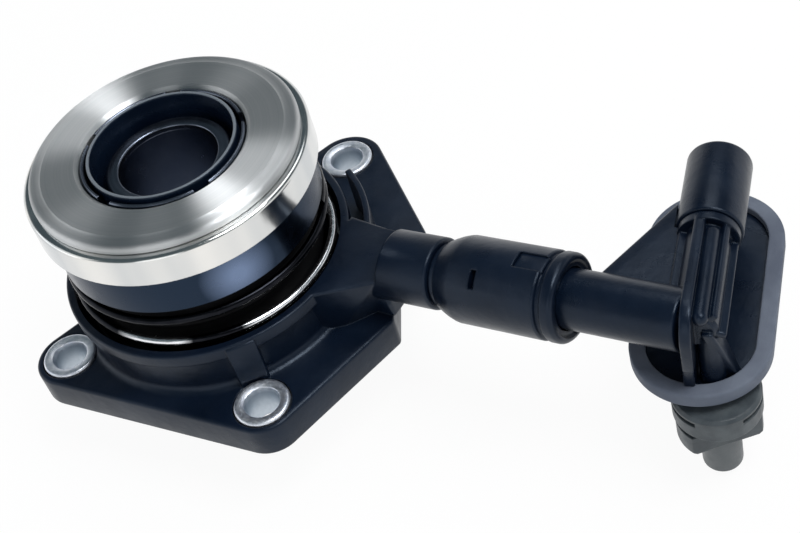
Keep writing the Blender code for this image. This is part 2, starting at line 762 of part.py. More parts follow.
    # Notched clip ring on a foot that holds the fixed race down
    clip = [
        (CLIP_BORE_R, RACE_LOW),
        (RACE_BORE_R - FIT, RACE_LOW),
        (RACE_BORE_R - FIT, RACE_LOW + CLIP_FOOT),
        (CLIP_R, RACE_LOW + CLIP_FOOT),
        (CLIP_R, RACE_LOW + CLIP_HEIGHT),
        (CLIP_BORE_R, RACE_LOW + CLIP_HEIGHT),
    ]
    ring = place("clip_ring", turned(clip, BIG_STEPS), ground, parent=shaft)
    for index in range(CLIP_NOTCHES):
        angle = CLIP_NOTCH_ANGLE + 2.0 * math.pi * index / CLIP_NOTCHES
        top = RACE_LOW + CLIP_HEIGHT
        notch = block(
            (CLIP_BORE_R - CLIP_WALL, CLIP_R + CLIP_WALL),
            (-CLIP_NOTCH / 2.0, CLIP_NOTCH / 2.0),
            (top - CLIP_NOTCH_DEPTH, top + CLIP_WALL),
        )
        cut(ring, place("clip_notch_%d" % (index + 1), notch, rotation=(0.0, 0.0, angle)))


def build_spring():
    """Left-hand coil from the floor of the moat to the carrier's skirt, closed at both ends."""
    low = FLANGE + FIT + WIRE_R
    high = SKIRT_LOW - FIT - WIRE_R
    closed = 2.0 * WIRE_R + FIT
    per_turn = 18
    live = high - low - 2.0 * closed
    count = int(round((LIVE_TURNS + 2.0) * per_turn))
    points = []
    for index in range(count + 1):
        turn = index / per_turn
        drop = closed * min(turn, 1.0)
        drop += live * min(max(turn - 1.0, 0.0), LIVE_TURNS) / LIVE_TURNS
        drop += closed * max(turn - 1.0 - LIVE_TURNS, 0.0)
        angle = COIL_START + 2.0 * math.pi * turn
        points.append(Vector((COIL_R * math.cos(angle), COIL_R * math.sin(angle), high - drop)))
    place("preload_spring", wire_along(points, WIRE_R, 5), spring_steel, parent=shaft)


def build_boot():
    """Rubber bellows from the cylinder wall up to the underside of the carrier."""
    root = MOAT_R + FIT
    top = PLATE_LOW - FIT
    first = BOOT_BASE + BOOT_CUFF
    last = top - BOOT_WALL * 2.0
    crest = root + BOOT_WALL + BOOT_WAVE
    valley = root + BOOT_WALL
    outside = [(valley, BOOT_BASE), (valley, first)]
    inside = [(root, BOOT_BASE), (root, first)]
    pitch = (last - first) / BOOT_WAVES
    for index in range(BOOT_WAVES):
        middle = first + pitch * (index + 0.5)
        outside.append((crest, middle))
        inside.append((crest - BOOT_WALL * 1.1, middle))
        outside.append((valley, first + pitch * (index + 1)))
        inside.append((root, first + pitch * (index + 1)))
    outside.append((crest, top - BOOT_WALL))
    outside.append((crest, top))
    inside.append((root, top))
    boot = outside + list(reversed(inside))
    place("dust_boot", turned(boot, MID_STEPS), black_rubber, parent=shaft)


def build_bushes():
    """Zinc-plated sleeves that take the bolts' load through the plastic flange."""
    bush = [
        (BUSH_BORE_R, 0.0),
        (BUSH_R, 0.0),
        (BUSH_R, FLANGE + BUSH_PROUD - FIT),
        (BUSH_R - FIT, FLANGE + BUSH_PROUD),
        (BUSH_BORE_R + FIT, FLANGE + BUSH_PROUD),
        (BUSH_BORE_R, FLANGE + BUSH_PROUD - FIT),
    ]
    mesh = None
    for index, (x, y, radius) in enumerate(BOLTS):
        name = "mount_bush_%d" % (index + 1)
        if mesh is None:
            mesh = place(name, turned(bush, MID_STEPS), zinc, location=(x, y, 0.0)).data
        else:
            copy = bpy.data.objects.new(name, mesh)
            bpy.context.collection.objects.link(copy)
            copy.location = (x, y, 0.0)


def build_connector():
    """Quick connector: spigot in the boss, cone, barrel, clip window and latch slots."""
    spigot_r = BOSS_BORE_R - FIT
    neck = BOSS_END + FIT
    start = BOSS_END - SPIGOT_LENGTH
    cone = BOSS_END + NECK_LENGTH
    barrel = cone + BARREL_CONE
    end = barrel + BARREL_LENGTH
    socket_r = TUBE_R + FIT
    groove_r = spigot_r - 2.0 * SPIGOT_RING_R - FIT
    groove = start + SPIGOT_GROOVE * 1.5
    band = end - BARREL_RIM - BARREL_GROOVE
    profile = [
        (TUBE_BORE_R, start),
        (spigot_r, start),
        (spigot_r, groove),
        (groove_r, groove),
        (groove_r, groove + SPIGOT_GROOVE),
        (spigot_r, groove + SPIGOT_GROOVE),
        (spigot_r, neck),
        (NECK_R, neck),
        (NECK_R, cone),
        (NECK_R + (BARREL_R - NECK_R) * 0.35, cone),
        (NECK_R + (BARREL_R - NECK_R) * 0.85, cone + BARREL_CONE * 0.6),
        (BARREL_R, barrel),
        (BARREL_R, band),
        (BARREL_R - BARREL_GROOVE_DEPTH, band),
        (BARREL_R - BARREL_GROOVE_DEPTH, band + BARREL_GROOVE),
        (BARREL_R, band + BARREL_GROOVE),
        (BARREL_R, end - BARREL_GROOVE_DEPTH),
        (BARREL_R - BARREL_GROOVE_DEPTH, end),
        (BARREL_R - 3.0 * BARREL_GROOVE_DEPTH, end),
        (BARREL_R - 3.5 * BARREL_GROOVE_DEPTH, end - BARREL_GROOVE_DEPTH),
        (socket_r, end - BARREL_GROOVE_DEPTH),
        (socket_r, end - TUBE_SEAT),
        (TUBE_BORE_R, end - TUBE_SEAT),
    ]
    body = place("connector_body", turned(profile, MID_STEPS), plastic, parent=inlet)

    # Clip window on top of the barrel, which is the inlet frame's -X side
    top = BARREL_R
    floor = BARREL_R - WINDOW_DEPTH
    window_end = band + BARREL_GROOVE / 2.0
    window_start = window_end - WINDOW_LENGTH
    half = WINDOW_WIDTH / 2.0
    window = block((-top - WINDOW_DEPTH, -floor), (-half, half), (window_start, window_end))
    cut(body, place("clip_window", window, parent=inlet))
    for index, turn in enumerate((math.pi - LATCH_ANGLE, -LATCH_ANGLE)):
        slot = block(
            (BARREL_R - WINDOW_DEPTH / 2.0, BARREL_R + WINDOW_DEPTH),
            (-LATCH_WIDTH / 2.0, LATCH_WIDTH / 2.0),
            (cone + LATCH_AT - LATCH_LENGTH / 2.0, cone + LATCH_AT + LATCH_LENGTH / 2.0),
        )
        name = "latch_slot_%d" % (index + 1)
        cut(body, place(name, slot, parent=inlet, rotation=(0.0, 0.0, turn)))

    # Spring clip seated in the window: an arched bridge with two feet
    clip_top = BARREL_R - BARREL_GROOVE_DEPTH
    seat = floor + FIT
    low = half - FIT
    foot = WINDOW_WIDTH / 5.0
    arch = [
        (-low, seat),
        (-low + foot, seat),
        (-low + foot, seat + foot * 0.6),
        (low - foot, seat + foot * 0.6),
        (low - foot, seat),
        (low, seat),
        (low - foot * 0.4, clip_top - FIT),
        (-low + foot * 0.4, clip_top - FIT),
    ]
    clip = prism(arch, window_start + FIT, window_end - FIT, axis="X")
    # The arch is drawn across Y and up Z; the inlet frame's length is Z and its top is -X
    to_inlet = Matrix.Rotation(-math.pi / 2.0, 4, "Y")
    bmesh.ops.transform(clip, matrix=to_inlet, verts=clip.verts)
    place("connector_clip", clip, spring_steel, parent=inlet)

    ring_centre = (groove_r + FIT + SPIGOT_RING_R, groove + SPIGOT_GROOVE / 2.0)
    ring = arc(ring_centre, SPIGOT_RING_R * 0.95, 0.0, 300.0, 5)
    place("connector_o_ring", turned(ring, SMALL_STEPS), seal_rubber, parent=inlet)
    return end - TUBE_SEAT


def build_adapter(tube_low):
    """Inlet tube, elbow, ribbed arm to the line port, column, plate, web and fins in one moulding."""
    plate_top = -PLATE_DROP
    plate_low = plate_top - PLATE
    tube = turned(
        [
            (0.0, tube_low + FIT),
            (TUBE_R - FIT, tube_low + FIT),
            (TUBE_R, tube_low + 2.0 * FIT),
            (TUBE_R, ELBOW_AT - 2.0 * FIT),
            (TUBE_R - 2.0 * FIT, ELBOW_AT),
            (0.0, ELBOW_AT),
        ],
        MID_STEPS,
        closed=False,
    )
    adapter = place("adapter", tube, adapter_plastic, parent=inlet)

    along_arm = (-math.pi / 2.0, 0.0, 0.0)
    arm_end = ARM_LENGTH - FIT
    arm = turned(
        [
            (0.0, -ARM_LOW),
            (ARM_R, -ARM_LOW),
            (ARM_R, arm_end - PLATE),
            (PORT_R, arm_end - PLATE),
            (PORT_R, arm_end),
            (PORT_SPIGOT_R, arm_end),
            (PORT_SPIGOT_R, arm_end + PORT_SPIGOT),
            (0.0, arm_end + PORT_SPIGOT),
        ],
        SMALL_STEPS,
        closed=False,
    )
    join(adapter, place("arm", arm, parent=elbow, rotation=along_arm))
    star = []
    for index in range(ARM_RIBS):
        angle = 2.0 * math.pi * index / ARM_RIBS + math.pi / 12.0
        out = Vector((math.cos(angle), math.sin(angle)))
        across = Vector((-out.y, out.x)) * (ARM_RIB / 2.0)
        between = angle + math.pi / ARM_RIBS
        star.append(tuple(out * (PORT_R - FIT) - across))
        star.append(tuple(out * (PORT_R - FIT) + across))
        star.append((ARM_RIB * math.cos(between), ARM_RIB * math.sin(between)))
    ribs = prism(star, -ARM_LOW + FIT, arm_end - PLATE / 2.0)
    join(adapter, place("arm_ribs", ribs, parent=elbow, rotation=along_arm))

    # Plate first as a flat stadium, then the column, the web and the two legs under the elbow
    section = hull_outline(
        disc_outline(PLATE_OFFSET_X, PLATE_NEAR_Y, PLATE_R, PLATE_STEPS)
        + disc_outline(PLATE_OFFSET_X, PLATE_NEAR_Y + PLATE_SPAN, PLATE_R, PLATE_STEPS)
    )
    join(adapter, place("plate", prism(section, plate_low, plate_top), parent=elbow))
    spigot_low = plate_low - FIT - BLEED_SPIGOT
    column = turned(
        [
            (0.0, spigot_low),
            (BLEED_SPIGOT_R, spigot_low),
            (BLEED_SPIGOT_R, plate_low + PLATE / 2.0),
            (COLUMN_R, plate_low + PLATE / 2.0),
            (COLUMN_R, -TUBE_R * 0.3),
            (0.0, -TUBE_R * 0.3),
        ],
        SMALL_STEPS,
        closed=False,
    )
    join(adapter, place("column", column, parent=bleed_axis))
    turn_back = Matrix.Rotation(-ADAPTER_TURN, 3, "Z")
    tube_side = turn_back @ Vector((-WEB_TUBE_AT, 0.0, 0.0))
    web = prism(
        [(0.0, 0.0), (-PORT_R * 0.98, WEB_PORT_AT), (tube_side.x, tube_side.y)],
        -WEB / 2.0,
        WEB / 2.0,
    )
    join(adapter, place("web", web, parent=elbow))
    for index, (top, foot) in enumerate(zip(LEG_TOPS, LEG_FEET)):
        leg = strut(top, foot, plate_low + PLATE / 2.0, 0.0)
        join(adapter, place("leg_%d" % (index + 1), leg, parent=elbow))

    # Room for the grommet round the plate and for the line port, then the fluid passages
    rim_room = [
        (PLATE_R + FIT / 3.0, plate_low - PLATE),
        (GROMMET_R + FIT, plate_low - PLATE),
        (GROMMET_R + FIT, plate_top + GROMMET_FACE + FIT),
        (PLATE_R + FIT / 3.0, plate_top + GROMMET_FACE + FIT),
    ]
    ring = stadium(rim_room, PLATE_NEAR_Y, PLATE_NEAR_Y + PLATE_SPAN, PLATE_STEPS // 2)
    offset = (PLATE_OFFSET_X, 0.0, 0.0)
    cut(adapter, place("grommet_room", ring, parent=elbow, location=offset))
    room = turned(
        [
            (PORT_SPIGOT_R + FIT / 2.0, ARM_LENGTH - FIT / 2.0),
            (PORT_R + FIT, ARM_LENGTH - FIT / 2.0),
            (PORT_R + FIT, ARM_LENGTH + PORT_LENGTH),
            (PORT_SPIGOT_R + FIT / 2.0, ARM_LENGTH + PORT_LENGTH),
        ],
        SMALL_STEPS,
    )
    cut(adapter, place("port_room", room, parent=elbow, rotation=along_arm))
    line = rod(TUBE_BORE_R, tube_low - FLANGE, ELBOW_AT - TUBE_BORE_R * 0.7, 10)
    cut(adapter, place("tube_bore", line, parent=inlet))
    arm_bore = rod(TUBE_BORE_R * 0.9, -FIT, ARM_LENGTH + FLANGE, 10)
    cut(adapter, place("arm_bore", arm_bore, parent=elbow, rotation=along_arm))
    drop = rod(TUBE_BORE_R * 0.6, spigot_low - FLANGE, TUBE_BORE_R * 0.5, 10)
    cut(adapter, place("drop_bore", drop, parent=bleed_axis))

    port = [
        (PORT_SPIGOT_R + FIT, ARM_LENGTH),
        (PORT_R - FIT, ARM_LENGTH),
        (PORT_R, ARM_LENGTH + FIT),
        (PORT_R, ARM_LENGTH + PORT_LENGTH - FIT),
        (PORT_R - FIT, ARM_LENGTH + PORT_LENGTH),
        (PORT_SOCKET_R + FIT, ARM_LENGTH + PORT_LENGTH),
        (PORT_SOCKET_R, ARM_LENGTH + PORT_LENGTH - FIT),
        (PORT_SOCKET_R, ARM_LENGTH + PORT_LENGTH - PORT_SOCKET),
        (PORT_SPIGOT_R + FIT, ARM_LENGTH + PORT_LENGTH - PORT_SOCKET),
    ]
    place("line_port", turned(port, MID_STEPS), adapter_plastic, parent=elbow, rotation=along_arm)
    return plate_top, plate_low


def build_grommet(plate_top, plate_low):
    """Rubber rim round the plate, with a skirt that turns in under the plate's edge."""
    top = plate_top + GROMMET_FACE
    rim_low = top - GROMMET_RIM
    inside = PLATE_R + FIT
    under = plate_low - FIT
    low = rim_low - GROMMET_SKIRT
    section = [
        (GROMMET_R - FIT, rim_low),
        (GROMMET_R, rim_low + FIT),
        (GROMMET_R, top - 2.0 * FIT),
        (GROMMET_R - 2.0 * FIT, top),
        (inside + FIT, top),
        (inside, top - FIT),
        (inside, under),
        (inside - FIT - GROMMET_HOLD, under),
        (inside - FIT - GROMMET_HOLD, low),
        (inside, low),
        (inside + FIT * 2.0, rim_low),
    ]
    bm = stadium(section, PLATE_NEAR_Y, PLATE_NEAR_Y + PLATE_SPAN, PLATE_STEPS // 2)
    place("grommet", bm, rubber, parent=elbow, location=(PLATE_OFFSET_X, 0.0, 0.0))
    return low


def build_bleed(grommet_low):
    """Slotted collar under the plate, and the bleed screw that turns in it."""
    top = grommet_low - FIT
    low = top - BLEED_BODY
    bore = BLEED_SPIGOT_R + FIT
    collar = [
        (bore, low),
        (BLEED_BODY_R - 2.0 * FIT, low),
        (BLEED_BODY_R, low + 2.0 * FIT),
        (BLEED_BODY_R, top - 2.0 * FIT),
        (BLEED_BODY_R - 2.0 * FIT, top),
        (bore, top),
    ]
    body = place("bleed_body", turned(collar, MID_STEPS), bleed_plastic, parent=bleed_axis)
    slot_high = top - BLEED_SLOT_DROP
    inside = BLEED_BODY_R - BLEED_SLOT_DEPTH
    outside = BLEED_BODY_R + BLEED_SLOT_DEPTH
    reach = math.degrees(BLEED_SLOT_REACH)
    near = arc((0.0, 0.0), inside, -reach, reach, 6)
    far = arc((0.0, 0.0), outside, reach, -reach, 6)
    for index, angle in enumerate(BLEED_SLOTS):
        slot = prism(near + far, slot_high - BLEED_SLOT, slot_high)
        name = "bleed_slot_%d" % (index + 1)
        cut(body, place(name, slot, parent=bleed_axis, rotation=(0.0, 0.0, angle)))

    # Bleed screw: round head with two flats, a nipple below and a short stem up into the collar
    head_top = low - FIT
    head_low = head_top - HEAD
    end = head_low - NIPPLE
    screw = place("bleed_screw", turned(
        [
            (NIPPLE_BORE_R, end),
            (NIPPLE_R - 2.0 * FIT, end),
            (NIPPLE_R, end + 4.0 * FIT),
            (NIPPLE_R, head_low),
            (HEAD_R - 2.0 * FIT, head_low),
            (HEAD_R, head_low + 2.0 * FIT),
            (HEAD_R, head_top - HEAD_STEP),
            (HEAD_NECK_R, head_top - HEAD_STEP),
            (HEAD_NECK_R, head_top),
            (NIPPLE_BORE_R, head_top),
        ],
        MID_STEPS,
    ), bleed_plastic, parent=bleed_axis)
    for index, side in enumerate((0.0, math.pi)):
        flat = block(
            (HEAD_FLAT, HEAD_R * 1.5),
            (-HEAD_R * 1.5, HEAD_R * 1.5),
            (head_low - FIT, head_top - HEAD_STEP / 2.0),
        )
        turn = (0.0, 0.0, HEAD_FLAT_TURN + side)
        cut(screw, place("head_flat_%d" % (index + 1), flat, parent=bleed_axis, rotation=turn))


build_housing()
build_shaft_pieces()
build_spring()
build_boot()
build_bushes()
tube_seat = build_connector()
plate_levels = build_adapter(tube_seat)
skirt_low = build_grommet(plate_levels[0], plate_levels[1])
build_bleed(skirt_low)
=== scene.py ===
# %% [markdown]
# # Concentric slave cylinder: dressing the CAD model
# The real object is a hydraulic clutch release bearing that slides on a steel sleeve in a black
# moulded housing, with a quick connector and an inlet line that ends in a rubber-sealed adapter.
# The CAD nodes already say where everything is, so each visible piece is made again here with
# finer curves and rounded edges, in the same place, and gets its real finish.

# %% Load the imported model
import math

import bmesh
import bpy
from mathutils import Matrix, Vector


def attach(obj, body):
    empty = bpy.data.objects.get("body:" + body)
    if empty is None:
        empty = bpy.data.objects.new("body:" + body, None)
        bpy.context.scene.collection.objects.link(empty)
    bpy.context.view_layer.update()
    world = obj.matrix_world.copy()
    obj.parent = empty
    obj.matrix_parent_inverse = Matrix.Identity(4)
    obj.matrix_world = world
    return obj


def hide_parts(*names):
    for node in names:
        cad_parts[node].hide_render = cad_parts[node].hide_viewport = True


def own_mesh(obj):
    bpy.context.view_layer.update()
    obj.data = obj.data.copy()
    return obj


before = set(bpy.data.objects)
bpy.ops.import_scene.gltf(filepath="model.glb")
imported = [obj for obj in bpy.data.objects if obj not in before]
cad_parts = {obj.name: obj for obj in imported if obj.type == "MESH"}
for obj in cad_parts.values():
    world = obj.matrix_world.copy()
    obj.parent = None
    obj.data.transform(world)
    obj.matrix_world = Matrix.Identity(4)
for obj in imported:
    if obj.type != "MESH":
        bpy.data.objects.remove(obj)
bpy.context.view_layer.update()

# %% [markdown]
# ## Camera
# The photograph was taken from above and to the right of the bearing. A camera is easiest to place
# by the directions it looks in: its columns are right, up and backwards. A lens of 67.5 mm on a
# 36 mm sensor gives the photograph's mild perspective.

# %% Place the camera
LENS, SENSOR = 67.5, 36.0
CAMERA_AT = (0.19711, -0.15445, 0.23974)
bpy.ops.object.camera_add(location=(0.0, 0.0, 0.0))
camera = bpy.context.object
camera.name = "portrait_camera"
camera.data.lens = LENS
camera.data.sensor_width = SENSOR
camera.data.clip_start = 0.01
right = Vector((0.84354, 0.49095, -0.21773))
up = Vector((-0.23140, 0.69808, 0.67760))
back = Vector((0.48466, -0.52120, 0.70246))
turn = Matrix((right, up, back)).transposed().to_4x4()
camera.matrix_world = Matrix.Translation(CAMERA_AT) @ turn
bpy.context.scene.camera = camera
print("camera at", [round(value, 4) for value in camera.location])

# %% [markdown]
# ## Floor and backdrop
# A studio sweep is a pale floor that runs out of sight. Its white is partly the floor's own colour
# under the lamps and partly a little glow that only the camera and mirror-like surfaces see, so the
# soft shadow of the object stays on it.

# %% Make the floor
FLOOR_Z = -0.0175
GLOW_SHARE = 0.94
WHITE = (1.0, 1.0, 1.0, 1.0)
bpy.ops.object.select_all(action="DESELECT")
bpy.ops.mesh.primitive_plane_add(size=4.0, location=(0.0, 0.0, FLOOR_Z))
floor = bpy.context.object
floor.name = "studio_floor"
paper = bpy.data.materials.new("studio_paper")
paper.use_nodes = True
tree = paper.node_tree
shader = tree.nodes["Principled BSDF"]
shader.inputs["Base Color"].default_value = (0.90, 0.90, 0.90, 1.0)
shader.inputs["Roughness"].default_value = 0.9
shader.inputs["Specular IOR Level"].default_value = 0.1
glow = tree.nodes.new("ShaderNodeEmission")
glow.inputs["Color"].default_value = WHITE
glow.inputs["Strength"].default_value = 1.0
rays = tree.nodes.new("ShaderNodeLightPath")
seen = tree.nodes.new("ShaderNodeMath")
seen.operation = "MAXIMUM"
tree.links.new(rays.outputs["Is Camera Ray"], seen.inputs[0])
tree.links.new(rays.outputs["Is Glossy Ray"], seen.inputs[1])
share = tree.nodes.new("ShaderNodeMath")
share.operation = "MULTIPLY"
share.inputs[1].default_value = GLOW_SHARE
tree.links.new(seen.outputs[0], share.inputs[0])
blend = tree.nodes.new("ShaderNodeMixShader")
tree.links.new(share.outputs[0], blend.inputs[0])
tree.links.new(shader.outputs[0], blend.inputs[1])
tree.links.new(glow.outputs[0], blend.inputs[2])
tree.links.new(blend.outputs[0], tree.nodes["Material Output"].inputs["Surface"])
floor.data.materials.append(paper)
print("floor at", FLOOR_Z)

# %% [markdown]
# ## World and lamps
# Glossy black plastic and turned steel are mostly made of what they reflect, so the lamps are large
# softboxes. The high key lamp draws the bright wedge across the turned face, and three weaker ones
# at the left, back and front draw soft edges on the black pieces. The backdrop is white. Glossy rays
# see that white only near the horizon and a dark studio ceiling above it, and soft light comes from
# a faint cool fill, so that upward faces stay deep in tone.

# %% Light the scene
CEILING = (0.075, 0.100, 0.112, 1.0)
CEILING_STARTS, CEILING_FULL = 0.22, 0.50
FILL, FILL_STRENGTH = (0.92, 0.96, 1.0, 1.0), 0.45
LAMPS_AIM = Vector((0.04, 0.0, 0.02))
world = bpy.data.worlds.new("studio_white")
bpy.context.scene.world = world
world.use_nodes = True
tree = world.node_tree
tree.nodes.clear()


def add_background(colour, strength):
    node = tree.nodes.new("ShaderNodeBackground")
    node.inputs["Color"].default_value = colour
    node.inputs["Strength"].default_value = strength
    return node


def mix_by(factor, first, second):
    node = tree.nodes.new("ShaderNodeMixShader")
    tree.links.new(factor, node.inputs[0])
    tree.links.new(first.outputs[0], node.inputs[1])
    tree.links.new(second.outputs[0], node.inputs[2])
    return node


backdrop = add_background(WHITE, 1.0)
fill = add_background(FILL, FILL_STRENGTH)
mirrored = add_background(WHITE, 1.0)
direction = tree.nodes.new("ShaderNodeTexCoord")
height = tree.nodes.new("ShaderNodeSeparateXYZ")
tree.links.new(direction.outputs["Generated"], height.inputs["Vector"])
ceiling = tree.nodes.new("ShaderNodeValToRGB")
ceiling.color_ramp.elements[0].position = CEILING_STARTS
ceiling.color_ramp.elements[0].color = WHITE
ceiling.color_ramp.elements[1].position = CEILING_FULL
ceiling.color_ramp.elements[1].color = CEILING
tree.links.new(height.outputs["Z"], ceiling.inputs["Fac"])
tree.links.new(ceiling.outputs["Color"], mirrored.inputs["Color"])
rays = tree.nodes.new("ShaderNodeLightPath")
seen = tree.nodes.new("ShaderNodeMath")
seen.operation = "MAXIMUM"
tree.links.new(rays.outputs["Is Camera Ray"], seen.inputs[0])
tree.links.new(rays.outputs["Is Transmission Ray"], seen.inputs[1])
lit = mix_by(rays.outputs["Is Glossy Ray"], fill, mirrored)
shown = mix_by(seen.outputs[0], lit, backdrop)
output = tree.nodes.new("ShaderNodeOutputWorld")
tree.links.new(shown.outputs[0], output.inputs["Surface"])


def softbox(name, azimuth, elevation, distance, size, watts):
    """A square lamp that looks at the middle of the object from a compass angle and a height."""
    a, e = math.radians(azimuth), math.radians(elevation)
    out = Vector((math.cos(a) * math.cos(e), math.sin(a) * math.cos(e), math.sin(e)))
    bpy.ops.object.light_add(type="AREA", location=LAMPS_AIM + out * distance)
    lamp = bpy.context.object
    lamp.name = name
    lamp.data.shape = "SQUARE"
    lamp.data.size = size
    lamp.data.energy = watts
    lamp.rotation_euler = out.to_track_quat("Z", "Y").to_euler()


softbox("key_softbox", 8.0, 66.0, 0.9, 0.40, 5.2)
softbox("left_softbox", -150.0, 25.0, 0.9, 0.6, 0.9)
softbox("back_softbox", 98.0, 60.0, 1.0, 0.5, 1.6)
softbox("front_softbox", -75.0, 30.0, 1.0, 0.5, 0.8)
bpy.context.scene.view_settings.view_transform = "Standard"

# %% [markdown]
# ## Selecting and shaping helpers
# Modelling by hand is selecting something and applying an operator to it. These helpers clear the
# selection, pick faces, edges or points by where they are, join pieces, apply a modifier, and put a
# finished piece's origin back at the world's origin.

# %% Define the modelling helpers
SHARP = 32.0


def drop_selection():
    if bpy.context.object and bpy.context.object.mode != "OBJECT":
        bpy.ops.object.mode_set(mode="OBJECT")
    bpy.ops.object.select_all(action="DESELECT")


def take(piece):
    """Make a piece the only selected and active object."""
    drop_selection()
    piece.select_set(True)
    bpy.context.view_layer.objects.active = piece


def pick(test, kind="FACE"):
    """In edit mode, select the faces, edges or points whose middle passes a test."""
    bpy.ops.mesh.select_mode(type=kind)
    bpy.ops.mesh.select_all(action="DESELECT")
    mesh = bpy.context.object.data
    work = bmesh.from_edit_mesh(mesh)
    items = {"FACE": work.faces, "EDGE": work.edges, "VERT": work.verts}[kind]
    for item in items:
        corners = [item.co] if kind == "VERT" else [vert.co for vert in item.verts]
        middle = sum(corners, Vector()) / len(corners)
        if test(middle, item):
            item.select_set(True)
    work.select_flush_mode()
    bmesh.update_edit_mesh(mesh)


def apply_modifier(piece, modifier):
    take(piece)
    bpy.ops.object.modifier_apply(modifier=modifier.name)


def round_edges(piece, width, segments=3, angle=SHARP):
    """Give every edge sharper than an angle a small radius."""
    bevel = piece.modifiers.new("rounded edges", "BEVEL")
    bevel.width = width
    bevel.segments = segments
    bevel.limit_method = "ANGLE"
    bevel.angle_limit = math.radians(angle)
    bevel.use_clamp_overlap = True
    apply_modifier(piece, bevel)


def combine(piece, tool, operation):
    """Add one shape to another, or cut it away, and drop the tool."""
    step = piece.modifiers.new(tool.name, "BOOLEAN")
    step.operation = operation
    step.solver = "EXACT"
    step.object = tool
    apply_modifier(piece, step)
    bpy.data.objects.remove(tool, do_unlink=True)


def join_pieces(pieces, name):
    """Join several pieces into the first one."""
    drop_selection()
    for item in pieces:
        item.select_set(True)
    bpy.context.view_layer.objects.active = pieces[0]
    bpy.ops.object.join()
    joined = bpy.context.object
    joined.name = name
    return joined


def settle(piece, place=None):
    """Move a piece to its frame and put its place into its mesh."""
    if place is not None:
        piece.matrix_world = place @ piece.matrix_world
    take(piece)
    bpy.ops.object.transform_apply(location=True, rotation=True, scale=True)


print("helpers ready")

# %% [markdown]
# ## Turned shapes
# Most of these pieces are turned or moulded round an axis. By hand this is a circle that is
# extruded and scaled again and again along its outline. A ring's two open ends are bridged, and a
# solid one keeps the flat faces at its ends.

# %% Define the turning helper


def turn_outline(name, outline, steps=96, solid=False):
    """Extrude and scale a circle through (radius, height) pairs."""
    drop_selection()
    radius, height = outline[0]
    bpy.ops.mesh.primitive_circle_add(
        vertices=steps,
        radius=radius,
        fill_type="NGON" if solid else "NOTHING",
        location=(0.0, 0.0, height),
        rotation=(0.0, 0.0, math.pi / steps),
    )
    piece = bpy.context.object
    piece.name = name
    bpy.ops.object.mode_set(mode="EDIT")
    bpy.ops.mesh.select_all(action="SELECT")
    for next_radius, next_height in outline[1:]:
        rise = {"value": (0.0, 0.0, next_height - height)}
        if solid:
            bpy.ops.mesh.extrude_region_move(TRANSFORM_OT_translate=rise)
        else:
            bpy.ops.mesh.extrude_edges_move(TRANSFORM_OT_translate=rise)
        scale = next_radius / radius
        bpy.ops.transform.resize(value=(scale, scale, 1.0))
        radius, height = next_radius, next_height
    if not solid:
        bpy.ops.mesh.select_mode(type="EDGE")
        bpy.ops.mesh.select_all(action="DESELECT")
        bpy.ops.mesh.select_non_manifold()
        bpy.ops.mesh.bridge_edge_loops()
    bpy.ops.mesh.select_all(action="SELECT")
    bpy.ops.mesh.normals_make_consistent(inside=False)
    bpy.ops.object.mode_set(mode="OBJECT")
    settle(piece)
    return piece


def post(name, radius, low, high, x=0.0, y=0.0, steps=64):
    """A plain round post, used as a start or as a cutting tool."""
    drop_selection()
    bpy.ops.mesh.primitive_cylinder_add(
        vertices=steps, radius=radius, depth=high - low, location=(x, y, (low + high) / 2.0),
    )
    piece = bpy.context.object
    piece.name = name
    settle(piece)
    return piece


def slab(name, x_range, y_range, z_range):
    """A box between three pairs of limits."""
    drop_selection()
    middle = [(pair[0] + pair[1]) / 2.0 for pair in (x_range, y_range, z_range)]
    bpy.ops.mesh.primitive_cube_add(size=1.0, location=middle)
    piece = bpy.context.object
    piece.name = name
    piece.scale = [pair[1] - pair[0] for pair in (x_range, y_range, z_range)]
    settle(piece)
    return piece


def cut_out(name, outline, low, high):
    """A flat outline of (x, y) pairs, drawn point by point and pulled up into a prism."""
    drop_selection()
    bpy.ops.mesh.primitive_circle_add(
        vertices=len(outline), radius=0.01, fill_type="NGON", location=(0.0, 0.0, 0.0),
    )
    piece = bpy.context.object
    piece.name = name
    for vert, (x, y) in zip(piece.data.vertices, outline):
        vert.co = (x, y, low)
    bpy.ops.object.mode_set(mode="EDIT")
    bpy.ops.mesh.select_all(action="SELECT")
    bpy.ops.mesh.extrude_region_move(TRANSFORM_OT_translate={"value": (0.0, 0.0, high - low)})
    bpy.ops.mesh.select_all(action="SELECT")
    bpy.ops.mesh.normals_make_consistent(inside=False)
    bpy.ops.object.mode_set(mode="OBJECT")
    return piece


def arc(centre, radius, start, end, steps=6):
    """(radius, height) points along an arc, with angles in degrees."""
    points = []
    for index in range(steps + 1):
        angle = math.radians(start + (end - start) * index / steps)
        points.append((centre[0] + radius * math.cos(angle), centre[1] + radius * math.sin(angle)))
    return points


def dress(piece, finish, slot, body, *nodes):
    """Shade a finished piece, give it its finish, and let it stand for its CAD nodes."""
    take(piece)
    bpy.ops.object.shade_smooth_by_angle(angle=math.radians(SHARP))
    piece.data.materials.clear()
    piece.data.materials.append(finish)
    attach(piece, body)
    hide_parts(*nodes)
    print(piece.name, "with", len(piece.data.polygons), "faces stands for", ", ".join(nodes))


print("turning ready")

# %% [markdown]
# ## Finishes: the building bricks
# A finish starts as one Principled shader. Detail comes from noise in the piece's own coordinates:
# one layer changes the colour a little, one the gloss, and one the relief. The rounding brick makes
# the light roll over sharp moulded corners.

# %% Define the finish helpers


